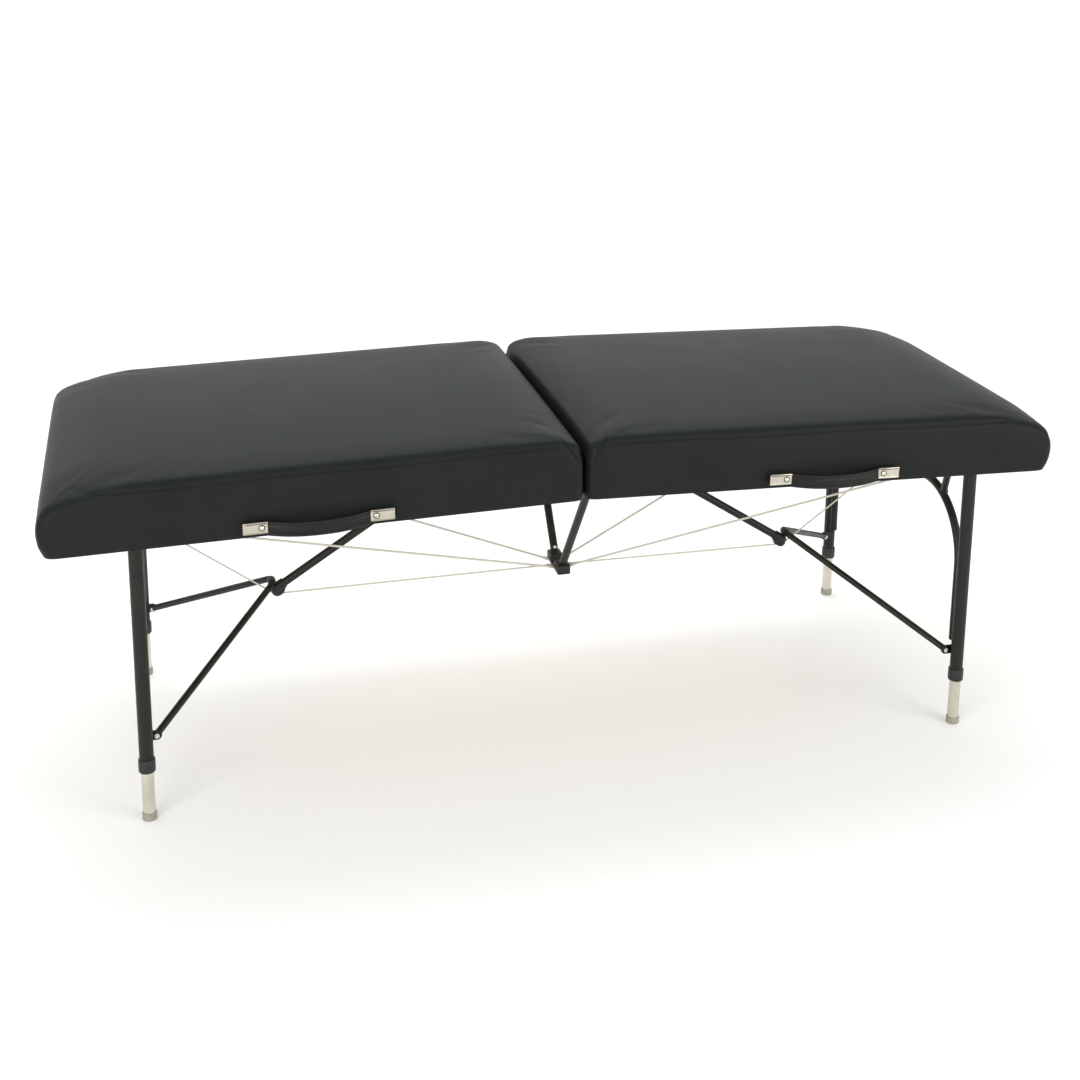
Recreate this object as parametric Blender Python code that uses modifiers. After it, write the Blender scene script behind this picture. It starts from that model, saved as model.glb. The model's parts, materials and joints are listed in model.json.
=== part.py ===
import math

import bmesh
import bpy
from mathutils import Matrix, Quaternion, Vector

# All sizes in metres, angles in radians. +X runs along the table, the handles are on the -Y side.

# panels
half_length = 0.927
half_width = 0.343
split_height = 0.560
camber = math.radians(1.36)
split_gap = 0.002
fit_gap = 0.0003
rail_height = 0.058
rail_side = 0.011
rail_end = 0.018
wrap = 0.0057
deck_thick = 0.006
cushion_height = 0.1075
cushion_crown = 0.006
side_bulge = 0.010
end_bulge = 0.017
corner_radius = 0.045
edge_round = 0.045
top_corner = 0.100
crown_run = half_width * 0.685
split_corner = 0.016

# centre hinge
hinge_drop = 0.008
hinge_u = hinge_drop * math.tan(camber)
hinge_length = 0.600
hinge_barrel = 0.004
hinge_pin = 0.002
hinge_reach = 0.0245
hinge_plate = 0.0025
hinge_knuckles = 5
leaf_clear = 0.0008

# legs
leg_radius = 0.0127
leg_wall = 0.0013
ext_radius = 0.0111
ext_wall = 0.0016
leg_in = 0.033
leg_stagger = 0.031
right_leg_y = half_width - leg_in
left_leg_y = right_leg_y - leg_stagger
pivot_in = 0.1666
pivot_u = half_length - pivot_in
pivot_w = 0.034
pivot_rod = 0.005
pivot_tube = 0.0077
rod_seat = 0.006
leg_bottom = 0.1006
leg_head = 0.014
collar_radius = 0.015
collar_top = 0.119
collar_bottom = 0.094
ext_bottom = 0.006
ext_top = 0.430
foot_radius = 0.0129
foot_height = 0.014
foot_floor = 0.0055
foot_lip = 0.0012
foot_edge = 0.002
foot_round = 0.0006
button_z = 0.415
button_radius = 0.003
button_proud = 0.0022
button_bevel = 0.0009
hole_pitch = 0.0254
holes_down = 7
holes_up = 3
press_holes = 4

# end frames
arch_radius = 0.008
arch_foot = 0.171
arch_drop = 0.097
arch_top = split_height - arch_drop
arch_bend = 0.135
branch_radius = 0.007
branch_in = 0.100
branch_top_in = 0.028
pivot_past = 0.008

# folding braces
lug_in = 0.0194
lug_z = 0.154
lug_radius = 0.009
lug_thick = 0.004
bolt_radius = 0.0052
bolt_head = 0.0034
bolt_shank = 0.0028
lug_sink = 0.0001
lug_lap = 0.003
brace_radius = 0.00635
brace_tail = 0.010
brace_bend = 0.030
knee_in = 0.4016
knee_drop = 0.2676
knee_x = half_length - knee_in
knee_z = split_height - knee_drop
knee_lift = 0.0172
knee_shift = 0.0004
bracket_u = 0.060414
bracket_w = 0.033261
bracket_x = bracket_u * math.cos(camber) + bracket_w * math.sin(camber)
bracket_z = split_height - bracket_u * math.sin(camber) + bracket_w * math.cos(camber)
strut_slope = math.atan2(bracket_z - knee_z, knee_x - bracket_x)
strut_length = math.hypot(bracket_z - knee_z, knee_x - bracket_x)
strut_radius = 0.00795
strut_neck = 0.013
strut_past = 0.006
neck_tall = 0.0112
neck_wide = 0.013
knuckle_radius = 0.014
knuckle_depth = 0.0165
knuckle_neck = 0.009
top_eye = 0.008
top_eye_half = 0.008
top_pin = 0.004
ear_thick = 0.003
ear_half = 0.009
bracket_plate = 0.003
pin_end = 0.002

# king post
king_u = 0.041
king_w = 0.0105
king_rod = 0.004
king_radius = 0.008
king_in = 0.093
king_spread = half_width - king_in
king_depth = 0.302
king_meet = split_height - king_depth
king_tip_drop = 0.274
king_tip = split_height - king_tip_drop
king_eye = 0.0095
king_eye_half = 0.012
hanger_in = 0.058
hanger_y = half_width - hanger_in
shoe_half_x = 0.0135
shoe_half_y = 0.045
shoe_drop = 0.281
shoe_height = 0.020
shoe_low = split_height - shoe_drop
shoe_notch = 0.010
shoe_web = 0.009
shoe_bevel = 0.003

# cables
cable_radius = 0.0015
brace_cable_radius = 0.0012
ferrule_grow = 2.0
ferrule_long = 0.016
ferrule_taper = 1.15
cable_side = 0.020
cable_up = 0.0085
cable_z = shoe_low + cable_up
brace_cable_drop = 0.004
guide_out = 0.004
guide_drop = 0.0125
guide_half = 0.030
guide_clear = 0.0004
anchor_share = 0.62
cable_bend = 0.010

# handles
handle_share = 0.5124
handle_mid = half_length * handle_share
handle_half = 0.108
handle_w = 0.0155
cap_long = 0.046
cap_tall = 0.027
cap_deep = 0.009
cap_bevel = 0.0025
strap_tall = 0.026
strap_thick = 0.0045
strap_bow = 0.016
strap_sag = 0.0095
strap_steps = 14

arc_steps = 6
turn_steps = 20
hole_steps = 8

# side of a cushion: shares of its height and of the bulge, from the bottom edge up
side_swell = ((0.0, 0.0), (0.11, 0.45), (0.28, 0.8), (0.47, 1.0), (0.65, 0.9), (0.79, 0.5))
# rounded top edge: shares of the height, of its inset and of the corner radius
top_edge = ((0.89, 0.09, 0.5), (0.955, 0.29, 0.58), (0.99, 0.62, 0.7), (1.0, 1.0, 0.85))
# crown of the top: shares of the crown, of its inset and of the corner radius
crown_rows = ((0.5, 0.4, 1.0), (0.85, 0.7, 1.0), (1.0, 1.0, 0.9))
split_round = 0.25
# turned knuckle below its neck: shares of its radius and depth
knuckle_shape = ((0.79, 0.36), (1.0, -0.24), (0.93, -0.6), (0.57, -0.91), (0.0, -1.0))
smooth_angle = math.radians(35)


def swell_at(w):
    share = w / cushion_height
    for (s0, b0), (s1, b1) in zip(side_swell, side_swell[1:]):
        if s0 <= share <= s1:
            return side_bulge * (b0 + (b1 - b0) * (share - s0) / (s1 - s0))
    return side_bulge


cap_back = half_width + swell_at(handle_w + cap_tall / 2) + fit_gap
near_edge = cap_back + cap_deep / 2 + strap_bow + strap_thick / 2
far_edge = half_width + side_bulge
centre_y = (near_edge - far_edge) / 2

scene = bpy.context.scene
for old in list(bpy.data.objects):
    bpy.data.objects.remove(old)

parts = bpy.data.collections.new("folding_massage_table")
scene.collection.children.link(parts)
cutters = bpy.data.collections.new("cutters")
scene.collection.children.link(cutters)
materials = {}


def material(name, colour, metal, rough):
    mat = bpy.data.materials.new(name)
    mat.use_nodes = True
    shader = mat.node_tree.nodes["Principled BSDF"]
    shader.inputs["Base Color"].default_value = (*colour, 1.0)
    shader.inputs["Metallic"].default_value = metal
    shader.inputs["Roughness"].default_value = rough
    materials[name] = mat


material("vinyl", (0.055, 0.06, 0.062), 0.0, 0.45)
material("strap_vinyl", (0.03, 0.03, 0.032), 0.0, 0.5)
material("ply", (0.52, 0.38, 0.22), 0.0, 0.6)
material("rail_wood", (0.10, 0.09, 0.08), 0.0, 0.6)
material("black_coat", (0.03, 0.03, 0.028), 0.2, 0.45)
material("black_cast", (0.02, 0.02, 0.02), 0.0, 0.5)
material("anodised", (0.72, 0.73, 0.74), 1.0, 0.35)
material("nickel", (0.80, 0.80, 0.78), 1.0, 0.2)
material("zinc", (0.62, 0.62, 0.60), 1.0, 0.35)
material("pale_rubber", (0.58, 0.57, 0.55), 0.0, 0.8)
material("grey_plastic", (0.05, 0.05, 0.05), 0.0, 0.45)
material("coated_wire", (0.52, 0.50, 0.44), 0.0, 0.4)


def link(obj, name, mat, parent=None, in_place=False):
    obj.name = name
    obj.data.name = name
    obj.data.materials.clear()
    obj.data.materials.append(materials[mat])
    obj.data.shade_smooth()
    obj.data.set_sharp_from_angle(angle=smooth_angle)
    parts.objects.link(obj)
    if parent is not None:
        obj.parent = parent
    if in_place:
        obj.matrix_parent_inverse = Matrix.Translation(-parent.location)
    return obj


def from_bmesh(bm):
    bmesh.ops.remove_doubles(bm, verts=bm.verts, dist=1e-6)
    bmesh.ops.recalc_face_normals(bm, faces=bm.faces)
    mesh = bpy.data.meshes.new("mesh")
    bm.to_mesh(mesh)
    bm.free()
    return bpy.data.objects.new("shape", mesh)


def empty(name, place, tilt=0.0):
    obj = bpy.data.objects.new(name, None)
    parts.objects.link(obj)
    obj.location = place
    obj.rotation_euler = (0.0, tilt, 0.0)
    return obj


def box(size, place, turn=None):
    bm = bmesh.new()
    bmesh.ops.create_cube(bm, size=1.0)
    bmesh.ops.scale(bm, vec=Vector(size), verts=bm.verts)
    matrix = Matrix.Translation(Vector(place)) @ (turn or Matrix.Identity(4))
    bmesh.ops.transform(bm, matrix=matrix, verts=bm.verts)
    return from_bmesh(bm)


def rod(start, end, radius, steps=turn_steps):
    start = Vector(start)
    along = Vector(end) - start
    bm = bmesh.new()
    bmesh.ops.create_cone(
        bm, cap_ends=True, segments=steps, radius1=radius, radius2=radius, depth=along.length
    )
    turn = along.to_track_quat("Z", "Y").to_matrix().to_4x4()
    bmesh.ops.transform(bm, matrix=Matrix.Translation(start + along / 2) @ turn, verts=bm.verts)
    return from_bmesh(bm)


def lathe(profile, place, loop=True):
    mesh = bpy.data.meshes.new("lathe")
    points = [(r, 0.0, z) for r, z in profile]
    edges = [(i, i + 1) for i in range(len(points) - 1)]
    if loop:
        edges.append((len(points) - 1, 0))
    mesh.from_pydata(points, edges, [])
    obj = bpy.data.objects.new("lathe", mesh)
    obj.location = place
    mod = obj.modifiers.new("turn", "SCREW")
    mod.steps = turn_steps
    mod.render_steps = turn_steps
    mod.use_merge_vertices = True
    mod.merge_threshold = 0.00001
    obj.rotation_euler.z = math.pi / turn_steps
    return obj


def pipe(points, radius, grow=None, res=2):
    curve = bpy.data.curves.new("pipe", "CURVE")
    curve.dimensions = "3D"
    curve.bevel_depth = radius
    curve.bevel_resolution = res
    curve.use_fill_caps = True
    spline = curve.splines.new("POLY")
    spline.points.add(len(points) - 1)
    for i, p in enumerate(points):
        spline.points[i].co = (*p, 1.0)
        spline.points[i].radius = grow[i] if grow else 1.0
    temp = bpy.data.objects.new("pipe", curve)
    scene.collection.objects.link(temp)
    graph = bpy.context.evaluated_depsgraph_get()
    mesh = bpy.data.meshes.new_from_object(temp.evaluated_get(graph))
    bpy.data.objects.remove(temp)
    bm = bmesh.new()
    bm.from_mesh(mesh)
    return from_bmesh(bm)


def rounded(points, radius, steps=arc_steps):
    path = [Vector(p) for p in points]
    out = [path[0]]
    for before, at, after in zip(path, path[1:], path[2:]):
        a = (before - at).normalized()
        b = (after - at).normalized()
        half = a.angle(b) / 2
        reach = radius / math.tan(half)
        middle = at + (a + b).normalized() * (radius / math.sin(half))
        first = at + a * reach - middle
        turn = first.rotation_difference(at + b * reach - middle)
        for i in range(steps + 1):
            out.append(middle + Quaternion().slerp(turn, i / steps) @ first)
    out.append(path[-1])
    return out


def outline(low_u, high_u, half_y, low_r, high_r):
    corners = (
        (high_u, half_y, high_r, 0),
        (low_u, half_y, low_r, 1),
        (low_u, -half_y, low_r, 2),
        (high_u, -half_y, high_r, 3),
    )
    out = []
    for u, y, r, quarter in corners:
        cu = u - r if u == high_u else u + r
        cy = y - math.copysign(r, y)
        for i in range(arc_steps + 1):
            t = (quarter + i / arc_steps) * math.pi / 2
            out.append((cu + r * math.cos(t), cy + r * math.sin(t)))
    return out


def stack(loops, side):
    bm = bmesh.new()
    rings = []
    for loop, w in loops:
        rings.append([bm.verts.new((side * u, y, w)) for u, y in loop])
    for low, high in zip(rings, rings[1:]):
        n = len(low)
        for i in range(n):
            bm.faces.new((low[i], low[(i + 1) % n], high[(i + 1) % n], high[i]))
    bm.faces.new(list(reversed(rings[0])))
    bm.faces.new(rings[-1])
    return from_bmesh(bm)


def combine(target, tool, how):
    tool.name = "tool"
    cutters.objects.link(tool)
    tool.hide_render = True
    tool.display_type = "WIRE"
    tool.parent = target.parent
    tool.matrix_parent_inverse = target.matrix_parent_inverse
    mod = target.modifiers.new(how.lower(), "BOOLEAN")
    mod.operation = how
    mod.solver = "EXACT"
    mod.object = tool
    return target


def cut(target, tool):
    return combine(target, tool, "DIFFERENCE")


def add(target, tool):
    return combine(target, tool, "UNION")


def bevel(obj, width, steps=2):
    mod = obj.modifiers.new("bevel", "BEVEL")
    mod.width = width
    mod.segments = steps
    mod.limit_method = "ANGLE"
    return obj


def half_point(side, u, w):
    x = side * (u * math.cos(camber) + w * math.sin(camber))
    z = split_height - u * math.sin(camber) + w * math.cos(camber)
    return x, z


# One half of the top: frame, deck, cushion, leg rod, strut bracket, handle
def build_half(side, name):
    frame = empty(name + "_half", (0.0, 0.0, split_height), side * camber)
    inner = split_gap + wrap - split_gap / 2
    outer = half_length - wrap
    inside = half_width - wrap
    ring = outline(inner, outer, inside, split_corner - wrap / 2, corner_radius - wrap / 2)
    low_u = inner + rail_end
    high_u = outer - rail_end
    well = outline(low_u, high_u, inside - rail_side, split_corner / 2, split_corner)

    rails = link(stack([(ring, 0.0), (ring, rail_height)], side), name + "_frame", "rail_wood", frame)
    cut(rails, stack([(well, -rail_height), (well, 2 * rail_height)], side))
    seat_y = inside - rail_side + rod_seat
    rod_u = side * pivot_u
    cut(rails, rod((rod_u, -seat_y, pivot_w), (rod_u, seat_y, pivot_w), pivot_rod + fit_gap))
    rod_y = seat_y - fit_gap
    leg_rod = rod((rod_u, -rod_y, pivot_w), (rod_u, rod_y, pivot_w), pivot_rod)
    link(leg_rod, name + "_leg_rod", "zinc", frame)

    deck_low = rail_height + fit_gap
    deck_high = deck_low + deck_thick
    link(stack([(ring, deck_low), (ring, deck_high)], side), name + "_deck", "ply", frame)

    loops = []
    for share, swell in side_swell:
        loop = outline(
            split_gap,
            half_length + swell * end_bulge,
            half_width + swell * side_bulge,
            split_corner,
            corner_radius + swell * side_bulge,
        )
        loops.append((loop, share * cushion_height))
    rows = [(share * cushion_height, inset * edge_round, big) for share, inset, big in top_edge]
    for share, inset, big in crown_rows:
        rows.append((cushion_height + share * cushion_crown, inset * crown_run, big))
    for w, inset, big in rows:
        small = split_corner + inset * split_round
        high_u = half_length - inset
        loop = outline(split_gap + inset, high_u, half_width - inset, small, big * top_corner)
        loops.append((loop, w))
    cushion = link(stack(loops, side), name + "_cushion", "vinyl", frame)
    core = outline(
        inner - fit_gap,
        outer + fit_gap,
        inside + fit_gap,
        split_corner - wrap / 2 + fit_gap,
        corner_radius - wrap / 2 + fit_gap,
    )
    cut(cushion, stack([(core, -rail_height), (core, deck_high + fit_gap)], side))

    bracket_at = side * bracket_u
    plate_high = rail_height
    plate_low = plate_high - bracket_plate
    ear_y = top_eye_half + 2 * fit_gap
    bracket = link(
        box(
            (2 * ear_half, 2 * (ear_y + ear_thick), bracket_plate),
            (bracket_at, 0.0, (plate_low + plate_high) / 2),
        ),
        name + "_strut_bracket",
        "black_coat",
        frame,
    )
    ear_low = bracket_w - ear_half
    for y in (-1, 1):
        add(
            bracket,
            box(
                (2 * ear_half, ear_thick, plate_high - ear_low),
                (bracket_at, y * (ear_y + ear_thick / 2), (plate_high + ear_low) / 2),
            ),
        )
    pin_y = ear_y + ear_thick + pin_end
    add(bracket, rod((bracket_at, -pin_y, bracket_w), (bracket_at, pin_y, bracket_w), top_pin))

    build_handle(side, name, frame)
    build_leaf(side, name, frame)
    return frame


def build_handle(side, name, frame):
    for tag, way in (("inner", -1), ("outer", 1)):
        place = (side * (handle_mid + way * handle_half), -(cap_back + cap_deep / 2), handle_w)
        cap = box((cap_long, cap_deep, cap_tall), place)
        bevel(link(cap, name + "_handle_cap_" + tag, "nickel", frame), cap_bevel)
    run = handle_half - cap_long / 2 - fit_gap
    bm = bmesh.new()
    rows = []
    for i in range(strap_steps + 1):
        t = -1.0 + 2.0 * i / strap_steps
        swell = (1.0 + math.cos(math.pi * t)) / 2
        u = handle_mid + run * t
        y = -(cap_back + cap_deep / 2 + strap_bow * swell - strap_thick / 2)
        w = handle_w - strap_sag * swell
        low = bm.verts.new((side * u, y, w - strap_tall / 2))
        high = bm.verts.new((side * u, y, w + strap_tall / 2))
        rows.append((low, high))
    for (a, b), (c, d) in zip(rows, rows[1:]):
        bm.faces.new((a, c, d, b))
    for face in bm.faces:
        face.normal_update()
        if face.normal.y > 0:
            face.normal_flip()
    mesh = bpy.data.meshes.new("strap")
    bm.to_mesh(mesh)
    bm.free()
    strap = link(bpy.data.objects.new("strap", mesh), name + "_handle_strap", "strap_vinyl", frame)
    mod = strap.modifiers.new("thick", "SOLIDIFY")
    mod.thickness = strap_thick
    mod.offset = 1.0
    mod.use_even_offset = False


# Long centre hinge: each half carries one leaf, the left leaf also carries the pin
def build_leaf(side, name, frame):
    axis_x = side * hinge_u
    low_u = hinge_barrel + leaf_clear
    top = -fit_gap
    mid_w = top - hinge_plate / 2
    plate = box(
        (hinge_reach - low_u, hinge_length, hinge_plate),
        (side * (hinge_reach + low_u) / 2, 0.0, mid_w),
    )
    leaf = link(plate, name + "_hinge_leaf", "zinc", frame)
    pitch = hinge_length / hinge_knuckles
    for i in range(hinge_knuckles):
        if (i % 2 == 0) != (side < 0):
            continue
        low = -hinge_length / 2 + i * pitch + fit_gap
        high = low + pitch - 2 * fit_gap
        web_low = -hinge_drop - hinge_barrel / 4
        web = (hinge_barrel * 1.5, high - low, top - web_low)
        add(leaf, box(web, (side * hinge_barrel * 1.25, (low + high) / 2, (top + web_low) / 2)))
        add(leaf, rod((axis_x, low, -hinge_drop), (axis_x, high, -hinge_drop), hinge_barrel))
    end = hinge_length / 2 - 2 * fit_gap
    if side < 0:
        add(leaf, rod((axis_x, -end, -hinge_drop), (axis_x, end, -hinge_drop), hinge_pin))
    else:
        bore = hinge_length / 2 + hinge_barrel
        cut(leaf, rod((axis_x, -bore, -hinge_drop), (axis_x, bore, -hinge_drop), hinge_pin + fit_gap))


def leg_place(side):
    x, z = half_point(side, pivot_u, pivot_w)
    return x, z, x + side * (leg_radius + fit_gap + pivot_tube)


# Legs, collars, telescopic extensions, snap buttons
def build_leg(side, way, name, axis, leg_x, head_z):
    leg_y = way * (left_leg_y if side < 0 else right_leg_y)
    inner = leg_radius - leg_wall
    profile = ((leg_radius, head_z), (leg_radius, leg_bottom), (inner, leg_bottom), (inner, head_z))
    leg = link(lathe(profile, (leg_x, leg_y, 0.0)), name + "_leg", "black_coat", axis, True)

    lug_x = leg_x - side * lug_in
    lug_near = leg_y - way * (inner + lug_sink)
    lug_far = lug_near - way * lug_thick
    lug_mid = (lug_far + lug_near) / 2
    lap = (lug_in + lug_lap, lug_thick, 2 * lug_radius)
    add(leg, box(lap, ((leg_x + lug_x) / 2, lug_mid, lug_z)))
    add(leg, rod((lug_x, lug_near, lug_z), (lug_x, lug_far, lug_z), lug_radius))
    bolt_hole = bolt_shank + fit_gap
    hole_y = way * lug_thick
    cut(leg, rod((lug_x, lug_far - hole_y, lug_z), (lug_x, lug_near + hole_y, lug_z), bolt_hole))
    out_x = leg_x + side * 2 * leg_radius
    for k in range(-holes_down, holes_up + 1):
        z = button_z + k * hole_pitch
        cut(leg, rod((leg_x, leg_y, z), (out_x, leg_y, z), button_radius + fit_gap, hole_steps))

    nut_y = lug_near + way * fit_gap
    nut_end = nut_y + way * bolt_head
    nut = rod((lug_x, nut_y, lug_z), (lug_x, nut_end, lug_z), bolt_radius, 6)
    link(nut, name + "_brace_nut", "zinc", axis, True)
    cut(nut, rod((lug_x, nut_y - hole_y, lug_z), (lug_x, nut_end + hole_y, lug_z), bolt_hole))

    lip = ext_radius + fit_gap
    sleeve = leg_radius + fit_gap
    step = leg_bottom - fit_gap
    ring = (
        (sleeve, collar_top),
        (collar_radius, collar_top),
        (collar_radius, collar_bottom),
        (lip, collar_bottom),
        (lip, step),
        (sleeve, step),
    )
    link(lathe(ring, (leg_x, leg_y, 0.0)), name + "_collar", "grey_plastic", axis, True)

    slide = empty(name + "_slide", (leg_x, leg_y, 0.0))
    bore = ext_radius - ext_wall
    tube = ((ext_radius, ext_top), (ext_radius, ext_bottom), (bore, ext_bottom), (bore, ext_top))
    ext = link(lathe(tube, (0.0, 0.0, 0.0)), name + "_extension", "anodised", slide)
    for k in range(press_holes):
        z = button_z - k * hole_pitch
        out = (side * 2 * ext_radius, 0.0, z)
        cut(ext, rod((0.0, 0.0, z), out, button_radius + 4 * fit_gap, hole_steps))
    tip = (
        (lip, foot_height),
        (ext_radius + foot_lip, foot_height),
        (foot_radius, foot_edge),
        (foot_radius - foot_round, 0.0),
        (0.0, 0.0),
    )
    cup = ((0.0, foot_floor), (lip, foot_floor))
    link(lathe(cup + tip, (0.0, 0.0, 0.0), False), name + "_foot", "pale_rubber", slide)

    press = empty(name + "_press", (leg_x + side * leg_radius, leg_y, button_z))
    tail = -leg_wall - fit_gap / 2
    dome = rod((side * tail, 0.0, 0.0), (side * button_proud, 0.0, 0.0), button_radius, 16)
    bevel(link(dome, name + "_button", "zinc", press), button_bevel)


# Ends of a branch: on the arch's bend below, on the pivot tube above
def branch_ends(side, way):
    pivot_x, pivot_z, leg_x = leg_place(side)
    leg_y = left_leg_y if side < 0 else right_leg_y
    bend_y = leg_y - leg_radius - fit_gap - arch_radius - arch_bend
    past = leg_y - branch_in - bend_y
    low_z = arch_top - arch_bend + math.sqrt(arch_bend * arch_bend - past * past)
    low = Vector((leg_x, way * (leg_y - branch_in), low_z))
    high = Vector((pivot_x, way * (leg_y - branch_top_in), pivot_z))
    return low, high


# Welded end frame: pivot tube, arch between the legs, two branches
def build_end(side, name, axis, pivot_x, pivot_z, leg_x):
    leg_y = left_leg_y if side < 0 else right_leg_y
    reach = leg_y + pivot_past
    tube = rod((pivot_x, -reach, pivot_z), (pivot_x, reach, pivot_z), pivot_tube)
    frame = link(tube, name + "_end_frame", "black_coat", axis, True)
    arch_y = leg_y - leg_radius - fit_gap - arch_radius
    corner = (
        (leg_x, -arch_y, arch_foot),
        (leg_x, -arch_y, arch_top),
        (leg_x, arch_y, arch_top),
        (leg_x, arch_y, arch_foot),
    )
    add(frame, pipe(rounded(corner, arch_bend, 10), arch_radius))
    for way in (-1, 1):
        low, high = branch_ends(side, way)
        add(frame, rod(low, high, branch_radius, 16))
    bore = reach + arch_radius
    cut(frame, rod((pivot_x, -bore, pivot_z), (pivot_x, bore, pivot_z), pivot_rod + fit_gap))


def knee_frame(side):
    along = Vector((-side * math.cos(strut_slope), 0.0, math.sin(strut_slope)))
    up = Vector((side * math.sin(strut_slope), 0.0, math.cos(strut_slope)))
    return Vector((side * knee_x, 0.0, knee_z)), along, up


# V brace of one bent tube, mitred against the leg lugs, with the bolts that turn in them
def build_brace(side, name, leg_x):
    knee, along, up = knee_frame(side)
    lug = Vector((leg_x - side * lug_in, 0.0, lug_z))
    axis = empty(name + "_lug_axis", lug)
    leg_y = left_leg_y if side < 0 else right_leg_y
    lug_out = leg_y - leg_radius + leg_wall - lug_sink
    tube_out = lug_out - lug_thick - fit_gap
    point = knee + up * knee_lift + along * knee_shift - lug
    crown = 0.0
    for _ in range(arc_steps):
        half = math.atan2(tube_out, point.length + crown)
        crown = brace_bend / math.sin(half) - brace_bend
    apex = point + point.normalized() * crown
    ends = []
    for way in (-1, 1):
        end = Vector((0.0, way * tube_out, 0.0))
        ends.append(end + (end - apex).normalized() * brace_tail)
    tube = pipe(rounded((ends[0], apex, ends[1]), brace_bend, 8), brace_radius)
    brace = link(tube, name + "_brace", "black_coat", axis)
    trim = (4 * brace_tail, 2 * brace_tail, 4 * brace_tail)
    bolt_end = lug_out + 2 * fit_gap + bolt_head
    for way in (-1, 1):
        cut(brace, box(trim, (0.0, way * (tube_out + brace_tail), 0.0)))
        seat = Vector((0.0, way * (tube_out - brace_radius), 0.0))
        add(brace, rod(seat, Vector((0.0, way * bolt_end, 0.0)), bolt_shank))


# Strut with its eye at the top, and the turned knuckle on its lower end
def build_strut(side, name):
    knee, along, up = knee_frame(side)
    top = knee + along * strut_length
    axis = empty(name + "_strut_top", top)
    foot = -along * strut_length
    end = foot - along * strut_past
    strut = link(rod(-along * strut_neck, end, strut_radius), name + "_strut", "black_coat", axis)
    turn = Matrix((along, (0.0, 1.0, 0.0), up)).transposed().to_4x4()
    add(strut, rod((0.0, -top_eye_half, 0.0), (0.0, top_eye_half, 0.0), top_eye))
    neck_long = strut_neck + neck_tall / 2
    add(strut, box((neck_long, neck_wide, neck_tall), -along * neck_long / 2, turn))
    cut(strut, rod((0.0, -2 * top_eye_half, 0.0), (0.0, 2 * top_eye_half, 0.0), top_pin + fit_gap))

    crest = knee_lift - brace_radius - fit_gap
    profile = [(0.0, crest), (knuckle_neck, crest)]
    profile += [(r * knuckle_radius, h * knuckle_depth) for r, h in knuckle_shape]
    body = link(lathe(profile, foot, False), name + "_knuckle", "black_cast", axis)
    body.rotation_euler = (0.0, side * strut_slope, 0.0)
    cut(body, rod(end - along * fit_gap, foot + along * 2 * knuckle_radius, strut_radius + fit_gap))
    first, under, last = brace_cable_stops(side)
    before = under + (first - under).normalized() * guide_half
    after = under + (last - under).normalized() * guide_half
    way_through = [p - top for p in rounded((before, under, after), cable_bend, 4)]
    cut(body, pipe(way_through, brace_cable_radius + guide_clear))


# King post: V of two tubes hung from a rod on the right half, with a saddle shoe
def build_king(frame):
    inner = split_gap + wrap - split_gap / 2 + rail_end
    hanger = rod((king_u, -hanger_y, king_w), (king_u, hanger_y, king_w), king_rod)
    link(hanger, "king_hanger", "black_coat", frame)
    ear = (king_u + 2 * king_rod - inner - fit_gap, ear_thick, 4 * king_rod)
    for way in (-1, 1):
        mid_u = inner + fit_gap + ear[0] / 2
        add(hanger, box(ear, (mid_u, way * (hanger_y - ear_thick), king_w)))

    x, z = half_point(1, king_u, king_w)
    axis = empty("king_post", (x, 0.0, z))
    run = z - king_meet
    shoe_mid = shoe_low + shoe_height / 2 - z
    block = box((2 * shoe_half_x, 2 * shoe_half_y, shoe_height), (0.0, 0.0, shoe_mid))
    shoe = link(block, "king_shoe", "black_cast", axis)
    gap_z = shoe_low + shoe_web + shoe_height / 2 - z
    cut(shoe, box((4 * shoe_half_x, 2 * shoe_notch, shoe_height), (0.0, 0.0, gap_z)))
    bevel(shoe, shoe_bevel)
    for way, tag in ((-1, "near"), (1, "far")):
        top = Vector((0.0, way * king_spread, 0.0))
        meet = Vector((0.0, 0.0, -run))
        tip = top.lerp(meet, (z - king_tip) / run)
        tube = link(rod(top, tip, king_radius), "king_tube_" + tag, "black_coat", axis)
        eye = Vector((0.0, king_eye_half, 0.0))
        add(tube, rod(top - eye, top + eye, king_eye))
        cut(tube, rod(top - 4 * eye, top + 4 * eye, king_rod + fit_gap))
        past = top.lerp(meet, (z - king_tip + fit_gap) / run)
        cut(shoe, rod(top, past, king_radius + fit_gap))


# Distance that keeps the rim of a tilted ferrule off a face square to the table's length
def rim(start, aim, radius):
    way = (aim - start).normalized()
    return ferrule_grow * radius * math.sqrt(1.0 - way.x * way.x) + fit_gap


# Stops of a brace cable: at the shoe, in the knuckle, on the arch
def brace_cable_stops(side):
    start_x = half_point(1, king_u, king_w)[0] + side * shoe_half_x
    under = knee_frame(side)[0] + Vector((side * guide_out, 0.0, -guide_drop))
    first = Vector((start_x, 0.0, cable_z - brace_cable_drop))
    first.x += side * rim(first, under, brace_cable_radius)
    bar = Vector((leg_place(side)[2], 0.0, arch_top))
    last = bar + (under - bar).normalized() * (arch_radius + fit_gap)
    return first, under, last


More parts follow.
